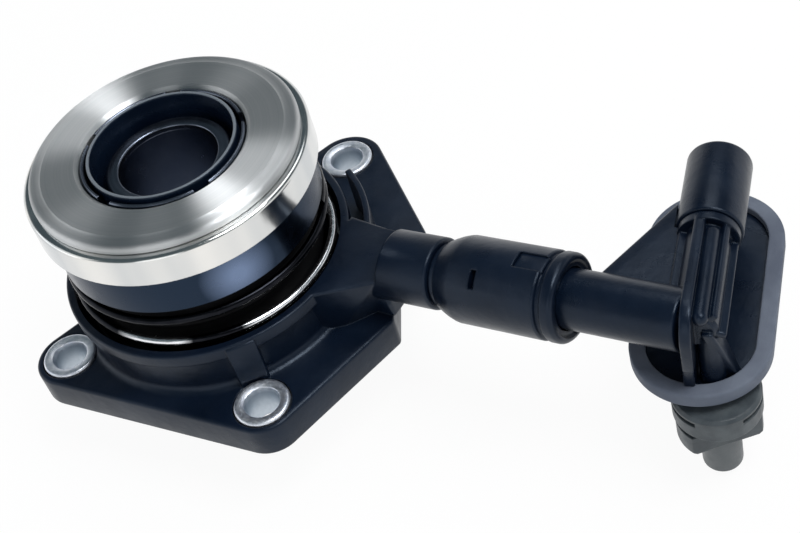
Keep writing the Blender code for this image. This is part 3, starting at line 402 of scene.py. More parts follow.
def start_finish(name, colour, rough, metal=0.0, **values):
    finish = bpy.data.materials.new(name)
    finish.use_nodes = True
    shader = finish.node_tree.nodes["Principled BSDF"]
    shader.inputs["Base Color"].default_value = (*colour, 1.0)
    shader.inputs["Roughness"].default_value = rough
    shader.inputs["Metallic"].default_value = metal
    for socket, value in values.items():
        shader.inputs[socket.replace("_", " ")].default_value = value
    return finish


def add_node(finish, kind, **values):
    node = finish.node_tree.nodes.new(kind)
    for name, value in values.items():
        setattr(node, name, value)
    return node


def link(finish, source, target):
    finish.node_tree.links.new(source, target)


def socket_of(finish, name):
    return finish.node_tree.nodes["Principled BSDF"].inputs[name]


def map_range(finish, source, low, high, to_low=0.0, to_high=1.0):
    change = add_node(finish, "ShaderNodeMapRange")
    change.inputs["From Min"].default_value = low
    change.inputs["From Max"].default_value = high
    change.inputs["To Min"].default_value = to_low
    change.inputs["To Max"].default_value = to_high
    link(finish, source, change.inputs["Value"])
    return change.outputs["Result"]


def own_coordinates(finish, stretch=(1.0, 1.0, 1.0)):
    """The piece's own coordinates, stretched where the marks run one way."""
    where = add_node(finish, "ShaderNodeTexCoord")
    mapping = add_node(finish, "ShaderNodeMapping")
    mapping.inputs["Scale"].default_value = stretch
    link(finish, where.outputs["Object"], mapping.inputs["Vector"])
    return mapping.outputs["Vector"]


def cloud(finish, scale, detail=3.0, stretch=(1.0, 1.0, 1.0)):
    noise = add_node(finish, "ShaderNodeTexNoise")
    noise.inputs["Scale"].default_value = scale
    noise.inputs["Detail"].default_value = detail
    link(finish, own_coordinates(finish, stretch), noise.inputs["Vector"])
    return noise.outputs["Fac"]


def rings(finish, per_metre):
    """Fine circles round Z, as a lathe tool leaves them."""
    apart = add_node(finish, "ShaderNodeVectorMath", operation="MULTIPLY")
    apart.inputs[1].default_value = (1.0, 1.0, 0.0)
    link(finish, own_coordinates(finish), apart.inputs[0])
    length = add_node(finish, "ShaderNodeVectorMath", operation="LENGTH")
    link(finish, apart.outputs["Vector"], length.inputs[0])
    noise = add_node(finish, "ShaderNodeTexNoise", noise_dimensions="1D")
    noise.inputs["Scale"].default_value = per_metre
    noise.inputs["Detail"].default_value = 4.0
    noise.inputs["Roughness"].default_value = 0.675
    link(finish, length.outputs["Value"], noise.inputs["W"])
    return noise.outputs["Fac"]


def along(finish, axis, low, high):
    """0 below one coordinate and 1 above another, or the other way round."""
    parts = add_node(finish, "ShaderNodeSeparateXYZ")
    link(finish, own_coordinates(finish), parts.inputs["Vector"])
    return map_range(finish, parts.outputs[axis], low, high)


def away_from(finish, point, near, far):
    """0 close to a point and 1 further away."""
    apart = add_node(finish, "ShaderNodeVectorMath", operation="DISTANCE")
    apart.inputs[1].default_value = point
    link(finish, own_coordinates(finish), apart.inputs[0])
    return map_range(finish, apart.outputs["Value"], near, far)


def times(finish, first, second):
    product = add_node(finish, "ShaderNodeMath", operation="MULTIPLY")
    link(finish, first, product.inputs[0])
    link(finish, second, product.inputs[1])
    return product.outputs["Value"]


def tint(finish, where, colour):
    """Lay a colour over the finish where a source is bright."""
    socket = socket_of(finish, "Base Color")
    mix = add_node(finish, "ShaderNodeMix", data_type="RGBA")
    link(finish, where, mix.inputs["Factor"])
    link(finish, socket.links[0].from_socket, mix.inputs["A"])
    mix.inputs["B"].default_value = (*colour, 1.0)
    link(finish, mix.outputs["Result"], socket)


def vary_colour(finish, source, dark, light, low=0.35, high=0.65):
    ramp = add_node(finish, "ShaderNodeValToRGB")
    ramp.color_ramp.elements[0].position = low
    ramp.color_ramp.elements[0].color = (*dark, 1.0)
    ramp.color_ramp.elements[1].position = high
    ramp.color_ramp.elements[1].color = (*light, 1.0)
    link(finish, source, ramp.inputs["Fac"])
    link(finish, ramp.outputs["Color"], socket_of(finish, "Base Color"))


def vary_gloss(finish, source, low, high):
    gloss = map_range(finish, source, 0.3, 0.7, low, high)
    link(finish, gloss, socket_of(finish, "Roughness"))


def rounded(finish, radius):
    """Roll the light over corners within a radius."""
    corner = add_node(finish, "ShaderNodeBevel", samples=6)
    corner.inputs["Radius"].default_value = radius
    link(finish, corner.outputs["Normal"], socket_of(finish, "Normal"))


def relief(finish, source, strength, depth):
    """Raise the surface a little where a source is bright, on top of what is there."""
    socket = socket_of(finish, "Normal")
    bump = add_node(finish, "ShaderNodeBump")
    bump.inputs["Strength"].default_value = strength
    bump.inputs["Distance"].default_value = depth
    if socket.is_linked:
        link(finish, socket.links[0].from_socket, bump.inputs["Normal"])
    link(finish, source, bump.inputs["Height"])
    link(finish, bump.outputs["Normal"], socket)


print("finish helpers ready")

# %% [markdown]
# ## Black moulded plastic
# The housing and connector are glass-filled nylon: nearly black with a cold blue cast, a soft gloss
# that changes over a few millimetres, and a fine grain from the mould. The adapter is the same
# family, slightly smoother. The top edge of the piston's nose has a painted highlight: a lighter
# band in its colour.

# %% Mix the plastics


def black_plastic(name, rough_low, rough_high, grain):
    finish = start_finish(name, (0.005, 0.009, 0.020), rough_low, Specular_IOR_Level=0.34)
    socket_of(finish, "Specular Tint").default_value = (0.66, 0.80, 1.0, 1.0)
    vary_colour(finish, cloud(finish, 90.0, 4.0),
                (0.0014, 0.0042, 0.0115), (0.0036, 0.0080, 0.0185))
    vary_gloss(finish, cloud(finish, 160.0, 5.0), rough_low, rough_high)
    rounded(finish, 0.0005)
    relief(finish, cloud(finish, 420.0, 3.0), 0.25, 0.0003)
    relief(finish, cloud(finish, grain, 2.0), 0.35, 0.00006)
    return finish


housing_black = black_plastic("housing_black", 0.27, 0.40, 3600.0)
adapter_black = black_plastic("adapter_black", 0.25, 0.36, 4200.0)
piston_black = black_plastic("piston_black", 0.22, 0.34, 5200.0)
# painted highlight: a lighter band in the colour round the top edge of the piston's nose
painted_highlight_band = along(piston_black, "Z", 0.05072, 0.05082)
tint(piston_black, painted_highlight_band, (0.13, 0.15, 0.17))
print("plastics", housing_black.name, adapter_black.name, piston_black.name)

# %% [markdown]
# ## Steels
# The bearing's face is turned and ground, so fine circles run round it and the highlight spreads
# across them into a wedge. The carrier is blackened steel, with a painted reflection at its front:
# a lighter blue patch in its colour. The sleeves are zinc plated: duller, with a cloudy skin, and
# with painted shade inside the hole, where the colour is darker. The spring is drawn wire painted
# with light and shade: its colour is black as painted shade, with a painted highlight along a
# stretch at the front right. These painted patches are colours that change with the place on the
# piece, so they stay on it in every view and every pose.

# %% Mix the steels


def turned_steel(name, dark, light, rough_low, rough_high, spread):
    finish = start_finish(
        name, light, rough_low, 1.0, Anisotropic=spread, Anisotropic_Rotation=0.25,
    )
    vary_colour(finish, rings(finish, 900.0), dark, light, 0.30, 0.62)
    vary_gloss(finish, cloud(finish, 240.0, 4.0), rough_low, rough_high)
    rounded(finish, 0.00025)
    relief(finish, rings(finish, 5200.0), 0.10, 0.00004)
    tangent = add_node(finish, "ShaderNodeTangent", direction_type="RADIAL", axis="Z")
    link(finish, tangent.outputs["Tangent"], socket_of(finish, "Tangent"))
    return finish


GREY = (0.60, 0.62, 0.63)
face_steel = turned_steel("face_steel", GREY, (0.66, 0.67, 0.68), 0.37, 0.39, 1.0)
shell_steel = turned_steel("shell_steel", GREY, (0.78, 0.775, 0.75), 0.12, 0.18, 0.5)
streaks = cloud(shell_steel, 70.0, 2.0, (1.0, 1.0, 0.05))
vary_colour(shell_steel, streaks, GREY, (0.84, 0.83, 0.80), 0.40, 0.60)
sleeve_steel = turned_steel(
    "sleeve_steel", (0.10, 0.12, 0.16), (0.19, 0.215, 0.27), 0.18, 0.28, 0.3,
)
dark_steel = turned_steel(
    "dark_steel", (0.016, 0.027, 0.046), (0.034, 0.052, 0.090), 0.20, 0.30, 0.5,
)
# painted reflection: a lighter blue patch in the carrier's colour at its front
painted_reflection_patch = away_from(dark_steel, (0.0250, -0.0150, 0.0352), 0.0085, 0.0015)
tint(dark_steel, painted_reflection_patch, (0.17, 0.23, 0.36))
print("turned steels", face_steel.name, shell_steel.name, sleeve_steel.name, dark_steel.name)

# %% Mix the zinc and the wire
zinc = start_finish("zinc_plate", (0.80, 0.84, 0.90), 0.4, 1.0)
vary_colour(zinc, cloud(zinc, 900.0, 6.0), (0.66, 0.71, 0.80), (0.88, 0.91, 0.96), 0.32, 0.68)
# painted shade: the colour turns darker inside the bushes' holes, below 7 mm
painted_shade_in_hole = along(zinc, "Z", 0.0079, 0.0070)
tint(zinc, painted_shade_in_hole, (0.50, 0.56, 0.62))
vary_gloss(zinc, cloud(zinc, 1500.0, 4.0), 0.32, 0.52)
rounded(zinc, 0.0003)
relief(zinc, cloud(zinc, 2600.0, 3.0), 0.3, 0.00005)

wire_steel = start_finish("wire_steel", (0.70, 0.71, 0.73), 0.2, 1.0)
# painted shade: the wire's colour is nearly black all over
vary_colour(wire_steel, cloud(wire_steel, 500.0, 4.0),
            (0.010, 0.011, 0.014), (0.015, 0.016, 0.020))
# painted highlight: a bright stretch in the colour on the low coil at the front right, kept off the
# front stretch that stays as painted shade
glint_low_coil = along(wire_steel, "Z", 0.0246, 0.0232)
glint_right_side = along(wire_steel, "X", -0.002, 0.003)
glint_outside_front_shade = away_from(wire_steel, (0.0188, -0.0215, 0.0200), 0.0055, 0.0085)
bright = times(wire_steel, times(wire_steel, glint_low_coil, glint_right_side), glint_outside_front_shade)
tint(wire_steel, bright, (0.88, 0.90, 0.94))
vary_gloss(wire_steel, cloud(wire_steel, 900.0, 4.0), 0.16, 0.28)
relief(wire_steel, cloud(wire_steel, 2400.0, 3.0), 0.15, 0.00003)
print("plated and drawn", zinc.name, wire_steel.name)

# %% [markdown]
# ## Rubbers and the grey plastic
# The grommet is a bluish grey rubber with a dull bloom, the boot a flat black one, and the bleed
# valve a warm grey plastic with faint flow marks, a little lighter on its nipple.

# %% Mix the rubbers and the grey plastic
grey_rubber = start_finish("grey_rubber", (0.14, 0.165, 0.22), 0.66, Specular_IOR_Level=0.20)
vary_colour(grey_rubber, cloud(grey_rubber, 120.0, 5.0),
            (0.085, 0.10, 0.135), (0.125, 0.145, 0.185))
vary_gloss(grey_rubber, cloud(grey_rubber, 300.0, 4.0), 0.55, 0.72)
rounded(grey_rubber, 0.0005)
relief(grey_rubber, cloud(grey_rubber, 2400.0, 4.0), 0.35, 0.00008)

black_rubber = start_finish("black_rubber", (0.002, 0.002, 0.003), 0.6, Specular_IOR_Level=0.10)
vary_colour(black_rubber, cloud(black_rubber, 150.0, 4.0),
            (0.0010, 0.0010, 0.0016), (0.0024, 0.0026, 0.0036))
vary_gloss(black_rubber, cloud(black_rubber, 260.0, 4.0), 0.50, 0.70)
relief(black_rubber, cloud(black_rubber, 1800.0, 3.0), 0.3, 0.00006)

warm_grey = start_finish("warm_grey_plastic", (0.055, 0.066, 0.074), 0.5, Specular_IOR_Level=0.35)
vary_colour(warm_grey, cloud(warm_grey, 260.0, 5.0), (0.042, 0.052, 0.060), (0.072, 0.086, 0.094))
on_nipple = along(warm_grey, "Z", -0.0056, -0.0062)
tint(warm_grey, on_nipple, (0.10, 0.112, 0.118))
vary_gloss(warm_grey, cloud(warm_grey, 500.0, 4.0), 0.34, 0.50)
rounded(warm_grey, 0.0004)
relief(warm_grey, cloud(warm_grey, 1600.0, 4.0), 0.35, 0.00008)
print("rubbers", grey_rubber.name, black_rubber.name, "and", warm_grey.name)

# %% [markdown]
# ## Sizes taken from the CAD source
# Everything below is in metres in the CAD frame: the shaft is Z, its origin is at the back of the
# flange, and the inlet leaves along X. Pieces on the inlet and on the adapter are made upright and
# then laid into their own frames.

# %% Repeat the sizes
FIT = 0.0003
GUIDE_R, GUIDE_TOP, GUIDE_LIP_R, GUIDE_FOOT_R = 0.0136, 0.0463, 0.01075, 0.0178
FLANGE = 0.0080
CYLINDER_R, MOAT_R, CYLINDER_TOP = 0.0195, 0.0225, 0.0240
COIL_R = 0.0286
CARRIER_R = 0.0292
COLLAR_R, COLLAR_TOP = 0.0300, 0.0205
BOLTS = ((-0.02165, -0.03055, 0.0078), (0.02857, -0.02596, 0.0075), (0.00675, 0.04409, 0.0084))
BUSH_R, BUSH_BORE_R = 0.00614, 0.0037
PISTON_LOW, PISTON_TOP, PISTON_R, NOSE_R = 0.0178, 0.0382, 0.0192, 0.0163
PLATE_LOW, CARRIER_TOP, SKIRT_LOW = 0.0385, 0.0406, 0.0308
RACE_LOW, SHELL_TOP, CONTACT_TOP = 0.0409, 0.0481, 0.0505
SHELL_R, SHELL_LIP_R, CONTACT_BORE_R, CONTACT_RIM_R = 0.0310, 0.0280, 0.01813, 0.0292
BOSS_R, BARREL_R, TUBE_R, PORT_R, PORT_BORE_R = 0.00763, 0.00914, 0.00612, 0.0066, 0.0042
ARM_R, ARM_SLEEVE_R, COLUMN_R, PLATE_R, GROMMET_R = 0.0044, 0.00614, 0.0026, 0.0113, 0.01395
INLET_Y, INLET_Z, INLET_RISE = 0.00982, 0.01387, math.radians(6.14)
INLET = Matrix.Translation((0.0, INLET_Y, INLET_Z))
INLET = INLET @ Matrix.Rotation(math.pi / 2.0 - INLET_RISE, 4, "Y")
ELBOW_AT, ELBOW_TURN = 0.1118, 15.9
ELBOW = Matrix.Translation((
    ELBOW_AT * math.cos(INLET_RISE), INLET_Y, INLET_Z + ELBOW_AT * math.sin(INLET_RISE),
)) @ Matrix.Rotation(math.radians(ELBOW_TURN), 4, "Z")
ARM = ELBOW @ Matrix.Rotation(-math.pi / 2.0, 4, "X")
BLEED = ELBOW @ Matrix.Translation((0.0023, 0.0, 0.0))
# an outline drawn across Y and up Z is stood along X
STOOD_ALONG_X = Matrix(((0, 0, 1, 0), (1, 0, 0, 0), (0, 1, 0, 0), (0, 0, 0, 1)))
print("elbow at", [round(value, 5) for value in ELBOW.translation])

# %% [markdown]
# ## Housing: the flange
# The flange is one plate 8 mm thick that runs tightly round three screw bushes, with a round back
# under the collar. Posts at its corners are wrapped in a convex hull, the back disc is added, and
# the corner under the inlet is cut back. Only then are the top and bottom edges rounded.

# %% Make the flange
CORNER_R, CORNERS = 0.0010, ((0.0430, 0.00415), (0.0430, 0.0228))
STEP_X, STEP_Y, STEP_IN, END_X, BEYOND = 0.0374, 0.00315, 0.0066, 0.0440, 0.06
posts = [post("corner", radius, 0.0, FLANGE, x, y) for x, y, radius in BOLTS]
posts += [post("corner", CORNER_R, 0.0, FLANGE, x, y, 24) for x, y in CORNERS]
housing = join_pieces(posts, "housing_moulding")
bpy.ops.object.mode_set(mode="EDIT")
bpy.ops.mesh.select_all(action="SELECT")
bpy.ops.mesh.convex_hull()
bpy.ops.mesh.select_all(action="SELECT")
bpy.ops.mesh.dissolve_limited(angle_limit=math.radians(0.5))
bpy.ops.object.mode_set(mode="OBJECT")
combine(housing, post("back_disc", 0.0330, 0.0, FLANGE, steps=160), "UNION")
run = math.tan(math.radians(30.3))
step = [
    (END_X + STEP_Y * run, 0.0), (STEP_X, STEP_Y + STEP_IN / run), (STEP_X, BEYOND),
    (BEYOND, BEYOND), (BEYOND, 0.0),
]
combine(housing, cut_out("end_step", step, -0.01, 0.02), "DIFFERENCE")
take(housing)
bpy.ops.object.mode_set(mode="EDIT")
bpy.ops.mesh.select_all(action="SELECT")
bpy.ops.mesh.dissolve_limited(angle_limit=math.radians(0.5))
bpy.ops.object.mode_set(mode="OBJECT")
round_edges(housing, 0.0007, 4, 40.0)
print("flange faces", len(housing.data.polygons))

# %% [markdown]
# ## Housing: collar, boss and ribs
# A collar stands on the flange and ends in a small lip. The inlet boss grows out of it on a block
# with sloping flanks, under a flat shoulder, and a curved outer wall runs on from there. Each shape
# is turned, hulled or cut out on its own and then added.

# %% Add the collar
SUNK, FOOT_R, LIP, LIP_R, CORE_R = 0.0040, 0.0020, 0.0012, 0.0005, 0.0262
outer = COLLAR_R + 0.0011
foot = [(outer + FOOT_R - FOOT_R * math.sin(a), FLANGE + FOOT_R - FOOT_R * math.cos(a))
        for a in [math.radians(15.0 * k) for k in range(7)]]
lip = arc((outer + LIP - LIP_R, COLLAR_TOP - LIP_R), LIP_R, 0.0, 90.0, 4)
collar = [(0.0200, SUNK), (outer + FOOT_R, SUNK)] + foot + [
    (outer, COLLAR_TOP - 0.0042), (outer + LIP, COLLAR_TOP - 0.0030),
] + lip + [(CORE_R, COLLAR_TOP), (CORE_R, CYLINDER_TOP)]
collar = turn_outline("collar", collar, 160, solid=True)
combine(housing, collar, "UNION")
print("flange and collar, faces", len(housing.data.polygons))

# %% Add the boss and its shoulder
SHOULDER_X, BOSS_END = 0.0431, 0.0554
boss = [(BOSS_R, 0.024), (BOSS_R, BOSS_END)]
boss += arc((BOSS_R - 0.0006, BOSS_END), 0.0006, 15.0, 90.0, 4)
boss = turn_outline("boss", boss, 72, solid=True)
settle(boss, INLET)
over = slab("boss_cut", (0.010, SHOULDER_X), (-0.01, 0.03), (COLLAR_TOP, 0.05))
combine(boss, over, "DIFFERENCE")
combine(housing, boss, "UNION")
LOW = 0.0075
corners = [
    (0.0290, -0.0070, COLLAR_TOP), (SHOULDER_X, 0.0024, COLLAR_TOP),
    (SHOULDER_X, 0.0168, COLLAR_TOP), (0.0275, 0.0180, COLLAR_TOP),
    (0.0310, -0.0040, LOW), (0.0343, -0.0015, LOW), (0.0423, 0.0085, LOW),
    (SHOULDER_X, 0.0110, LOW), (SHOULDER_X, 0.0180, LOW), (0.0270, 0.0180, LOW),
]
drop_selection()
bpy.ops.mesh.primitive_circle_add(vertices=len(corners), radius=0.01)
shoulder = bpy.context.object
shoulder.name = "shoulder"
for vert, place in zip(shoulder.data.vertices, corners):
    vert.co = place
bpy.ops.object.mode_set(mode="EDIT")
bpy.ops.mesh.select_all(action="SELECT")
bpy.ops.mesh.convex_hull()
bpy.ops.mesh.select_all(action="SELECT")
bpy.ops.mesh.normals_make_consistent(inside=False)
bpy.ops.object.mode_set(mode="OBJECT")
round_edges(shoulder, 0.0005, 3, 20.0)
combine(housing, shoulder, "UNION")
flanks = [
    (0.00435, LOW), (0.02012, LOW), (0.02012, 0.0100), (0.01554, 0.01623),
    (0.00562, 0.01623), (0.00372, 0.0122), (0.00435, 0.0084),
]
block = cut_out("boss_block", flanks, 0.0255, 0.0437)
round_edges(block, 0.0008, 3, 20.0)
settle(block, STOOD_ALONG_X)
combine(housing, block, "UNION")
print("boss and shoulder added, faces", len(housing.data.polygons))

# %% Add the outer wall and the pad
RIB_IN_R, RIB_OUT_R, RIB_FROM, RIB_TO = 0.0354, 0.0368, 18.0, 60.0
rib_in = arc((0.0, 0.0), RIB_IN_R, RIB_FROM, RIB_TO, 28)
rib_out = arc((0.0, 0.0), RIB_OUT_R, RIB_TO, RIB_FROM, 28)
rib = cut_out("arched_rib", rib_in + rib_out, SUNK, 0.0196)
round_edges(rib, 0.0003, 3, 60.0)
combine(housing, rib, "UNION")
pad = slab("collar_pad", (0.0306, 0.0327), (-0.00325, 0.00325), (SUNK, 0.0199))
round_edges(pad, 0.0004, 3)
settle(pad, Matrix.Rotation(math.radians(-42.0), 4, "Z"))
combine(housing, pad, "UNION")
print("housing with collar and boss, faces", len(housing.data.polygons))

# %% [markdown]
# ## Housing: moat, bore and holes
# The spring and the carrier's skirt drop into a ring-shaped moat. Inside it stands the cylinder with
# the stepped bore for the sleeve. The same turned tools as on a lathe cut them out.

# %% Cut the moat, the bore and the holes
SLEEVE_SEAT_R, RING_SEAT_R, SLEEVE_ROOM_R, CHAMBER_FLOOR = 0.0181, 0.0154, 0.0139, 0.0040
moat = [
    (MOAT_R, FLANGE), (COLLAR_R, FLANGE), (COLLAR_R, COLLAR_TOP - 0.0008),
    (0.0308, COLLAR_TOP + FIT), (0.0340, COLLAR_TOP + FIT), (0.0340, 0.040),
    (MOAT_R - 0.0006, 0.040), (MOAT_R - 0.0006, CYLINDER_TOP + FIT), (MOAT_R, CYLINDER_TOP - FIT),
]
combine(housing, turn_outline("moat", moat, 160), "DIFFERENCE")
bore = [
    (SLEEVE_SEAT_R, -0.01), (SLEEVE_SEAT_R, 0.0018), (RING_SEAT_R, 0.0018), (RING_SEAT_R, 0.0030),
    (SLEEVE_ROOM_R, 0.0030), (SLEEVE_ROOM_R, CHAMBER_FLOOR), (CYLINDER_R, CHAMBER_FLOOR),
    (CYLINDER_R, 0.0228), (0.0201, 0.0243), (0.0201, 0.040),
]
combine(housing, turn_outline("stepped_bore", bore, 160, solid=True), "DIFFERENCE")
for x, y, radius in BOLTS:
    combine(housing, post("bolt_hole", BUSH_R + FIT, -0.01, 0.0092, x, y, 72), "DIFFERENCE")
boss_bore = post("boss_bore", 0.0058, 0.0450, 0.0640, steps=64)
settle(boss_bore, INLET)
combine(housing, boss_bore, "DIFFERENCE")
dress(housing, housing_black, "black_plastic", "base", "housing")

# %% [markdown]
# ## Bushes in the bolt holes
# Each bolt hole has a steel sleeve that takes the screw's load. It is a thick ring with chamfers,
# turned once and copied twice, each copy with its own mesh.

# %% Make the bushes
bush_outline = [(BUSH_BORE_R, 0.0)]
bush_outline += [(BUSH_R - 0.0003, 0.0), (BUSH_R, 0.0003), (BUSH_R, 0.0080)]
bush_outline += arc((BUSH_R - 0.0006, 0.0080), 0.0006, 15.0, 90.0, 5)
bush_outline += [(BUSH_BORE_R + 0.0010, 0.0086), (BUSH_BORE_R + 0.0003, 0.0083)]
bush_outline.append((BUSH_BORE_R, 0.0076))
first_bush = turn_outline("bush_sleeve_1", bush_outline, 72)
bushes = [first_bush]
for index in (2, 3):
    take(first_bush)
    bpy.ops.object.duplicate(linked=False)
    copy = bpy.context.object
    copy.name = "bush_sleeve_%d" % index
    bushes.append(copy)
for index, (bush, (x, y, _)) in enumerate(zip(bushes, BOLTS)):
    settle(bush, Matrix.Translation((x, y, 0.0)))
    dress(bush, zinc, "zinc_plate", "base", "mount_bush_%d" % (index + 1))

# %% [markdown]
# ## Guide sleeve and piston
# The sleeve is drawn from steel tube and ends in a rolled lip that shows as a bright arc deep in the
# bearing. The piston slides on it, and its thin nose stands up through the bearing.

# %% Turn the sleeve and the piston
GUIDE_BORE_R = 0.0124
sleeve = [(GUIDE_BORE_R, 0.0), (GUIDE_FOOT_R, 0.0), (GUIDE_FOOT_R, 0.0015), (GUIDE_R, 0.0015)]
sleeve += arc((GUIDE_R - 0.0006, GUIDE_TOP - 0.0006), 0.0006, 0.0, 90.0, 5)
sleeve += arc((GUIDE_LIP_R + 0.0004, GUIDE_TOP - 0.0004), 0.0004, 90.0, 180.0, 4)
sleeve += [(GUIDE_LIP_R, GUIDE_TOP - 0.0014), (GUIDE_BORE_R, GUIDE_TOP - 0.0020)]
sleeve = turn_outline("guide_sleeve_tube", sleeve, 120)
dress(sleeve, sleeve_steel, "ground_steel", "base", "guide_sleeve")

PISTON_BORE_R = 0.0139
NOSE, NOSE_EDGE_R = 0.0127, 0.00045
nose_top = PISTON_TOP + NOSE
piston = [(PISTON_BORE_R, PISTON_LOW), (PISTON_R, PISTON_LOW), (PISTON_R, PISTON_TOP)]
piston.append((NOSE_R, PISTON_TOP))
piston += arc((NOSE_R - NOSE_EDGE_R, nose_top - NOSE_EDGE_R), NOSE_EDGE_R, 0.0, 180.0, 8)
piston += [(0.0154, PISTON_TOP + 0.0021), (PISTON_BORE_R, PISTON_TOP + 0.0006)]
piston = turn_outline("piston_moulding", piston, 120)
dress(piston, piston_black, "black_plastic", "slider", "piston")

# %% [markdown]
# ## Carrier, shell, contact ring and clip ring
# The dark carrier is a cup under the bearing. The bright shell wraps the balls, and the contact
# ring's flat face meets the clutch: it falls away to a rounded rim in two small steps, which draw
# the bright lines round it. The clip ring inside the bore has five notches.

# %% Turn the carrier and the shell
CARRIER_BORE_R, SKIRT_IN_R, CARRIER_EDGE = 0.0166, 0.0272, 0.0010
carrier = [(CARRIER_BORE_R, PLATE_LOW), (SKIRT_IN_R, PLATE_LOW), (SKIRT_IN_R, SKIRT_LOW + 0.0004)]
carrier += [(0.0276, SKIRT_LOW), (0.0288, SKIRT_LOW), (CARRIER_R, SKIRT_LOW + 0.0004)]
carrier += arc((CARRIER_R - CARRIER_EDGE, CARRIER_TOP - CARRIER_EDGE), CARRIER_EDGE, 0.0, 90.0, 5)
carrier.append((CARRIER_BORE_R, CARRIER_TOP))
carrier = turn_outline("bearing_carrier_cup", carrier, 160)
dress(carrier, dark_steel, "dark_steel", "slider", "bearing_carrier")

SHELL_IN_R, SHELL_UNDER, SHELL_EDGE = 0.0301, 0.0473, 0.0009
shell = [(SHELL_IN_R, RACE_LOW), (0.0307, RACE_LOW), (SHELL_R, RACE_LOW + 0.0003)]
shell += arc((SHELL_R - SHELL_EDGE, SHELL_TOP - SHELL_EDGE), SHELL_EDGE, 0.0, 90.0, 6)
shell += [(SHELL_LIP_R, SHELL_TOP), (SHELL_LIP_R, SHELL_UNDER), (SHELL_IN_R, SHELL_UNDER)]
shell = turn_outline("bearing_shell_cup", shell, 180)
dress(shell, shell_steel, "polished_steel", "slider", "bearing_shell")

# %% Turn the contact ring and the clip ring
BALL_Z, BALL_PITCH_R, BALL_GROOVE_R = 0.0450, 0.0246, 0.0029
CONTACT_LOW, RIM_LOW, RIM_IN_R = 0.0428, 0.04825, 0.0268
groove = arc((BALL_PITCH_R, BALL_Z), BALL_GROOVE_R, 75.0, 180.0, 8)
contact = groove + [
    (0.0217, CONTACT_LOW), (CONTACT_BORE_R, CONTACT_LOW), (CONTACT_BORE_R, CONTACT_TOP - 0.0008),
    (0.0190, CONTACT_TOP), (0.0262, CONTACT_TOP), (0.0266, CONTACT_TOP - 0.00025),
    (0.0276, CONTACT_TOP - 0.00035),
]
contact += arc((0.0281, CONTACT_TOP - 0.00148), 0.0011, 80.0, 0.0, 6)
contact += [(CONTACT_RIM_R, RIM_LOW + 0.0001), (0.0290, RIM_LOW), (0.0270, RIM_LOW)]
contact += [(RIM_IN_R, 0.0485), (RIM_IN_R, groove[0][1])]
contact = turn_outline("contact_ring_face", contact, 180)
dress(contact, face_steel, "polished_steel", "contact", "contact_ring")

NOTCHES, FIRST_NOTCH = 5, -97.5
clip = turn_outline("clip_ring_notched", [
    (0.01693, RACE_LOW), (0.0223, RACE_LOW), (0.0223, 0.0422), (0.01783, 0.0422),
    (0.01783, 0.0499), (0.01753, 0.0502), (0.01723, 0.0502), (0.01693, 0.0499),
], 160)
for index in range(NOTCHES):
    notch = slab("notch", (0.0160, 0.0188), (-0.0018, 0.0018), (0.0466, 0.0512))
    notch_angle = math.radians(FIRST_NOTCH + 360.0 / NOTCHES * index)
    settle(notch, Matrix.Rotation(notch_angle, 4, "Z"))
    combine(clip, notch, "DIFFERENCE")
dress(clip, sleeve_steel, "ground_steel", "slider", "clip_ring")

# %% [markdown]
# ## Preload spring
# The spring is one left-hand coil with a closed turn at each end. A wire section is swept by three
# Screw modifiers, one for each closed turn and one for the live turns, and the pieces are welded.

# %% Wind the spring
WIRE_R, COIL_TURN, LIVE_TURNS = 0.00095, 25.0, 2.0
low, high = FLANGE + FIT + WIRE_R, SKIRT_LOW - FIT - WIRE_R
closed = 2.0 * WIRE_R + FIT
live = high - low - 2.0 * closed


def wind(name, start_z, turns, drop):
    drop_selection()
    bpy.ops.mesh.primitive_circle_add(
        vertices=14,
        radius=WIRE_R,
        location=(COIL_R, 0.0, start_z),
        rotation=(math.pi / 2.0, 0.0, 0.0),
    )
    wire = bpy.context.object
    wire.name = name
    settle(wire)
    screw = wire.modifiers.new("coil", "SCREW")
    screw.angle = 2.0 * math.pi * turns
    screw.screw_offset = -drop
    screw.steps = screw.render_steps = int(72 * turns)
    screw.use_merge_vertices = False
    apply_modifier(wire, screw)
    return wire


coils = [
    wind("coil", high, 1.0, closed),
    wind("coil", high - closed, LIVE_TURNS, live),
    wind("coil", low + closed, 1.0, closed),
]
spring = join_pieces(coils, "preload_spring_wire")
bpy.ops.object.mode_set(mode="EDIT")
bpy.ops.mesh.select_mode(type="VERT")
bpy.ops.mesh.select_all(action="SELECT")
bpy.ops.mesh.remove_doubles(threshold=0.00002)
bpy.ops.mesh.select_all(action="DESELECT")
bpy.ops.mesh.select_non_manifold()
bpy.ops.mesh.edge_face_add()
bpy.ops.mesh.select_all(action="SELECT")
bpy.ops.mesh.normals_make_consistent(inside=False)
bpy.ops.object.mode_set(mode="OBJECT")
settle(spring, Matrix.Rotation(math.radians(COIL_TURN), 4, "Z"))
dress(spring, wire_steel, "spring_steel", "base", "preload_spring")
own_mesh(spring)

# %% [markdown]
# ## Dust boot
# A thin rubber bellows keeps dirt off the piston. Its outline is a wave of four folds above a
# straight cuff.

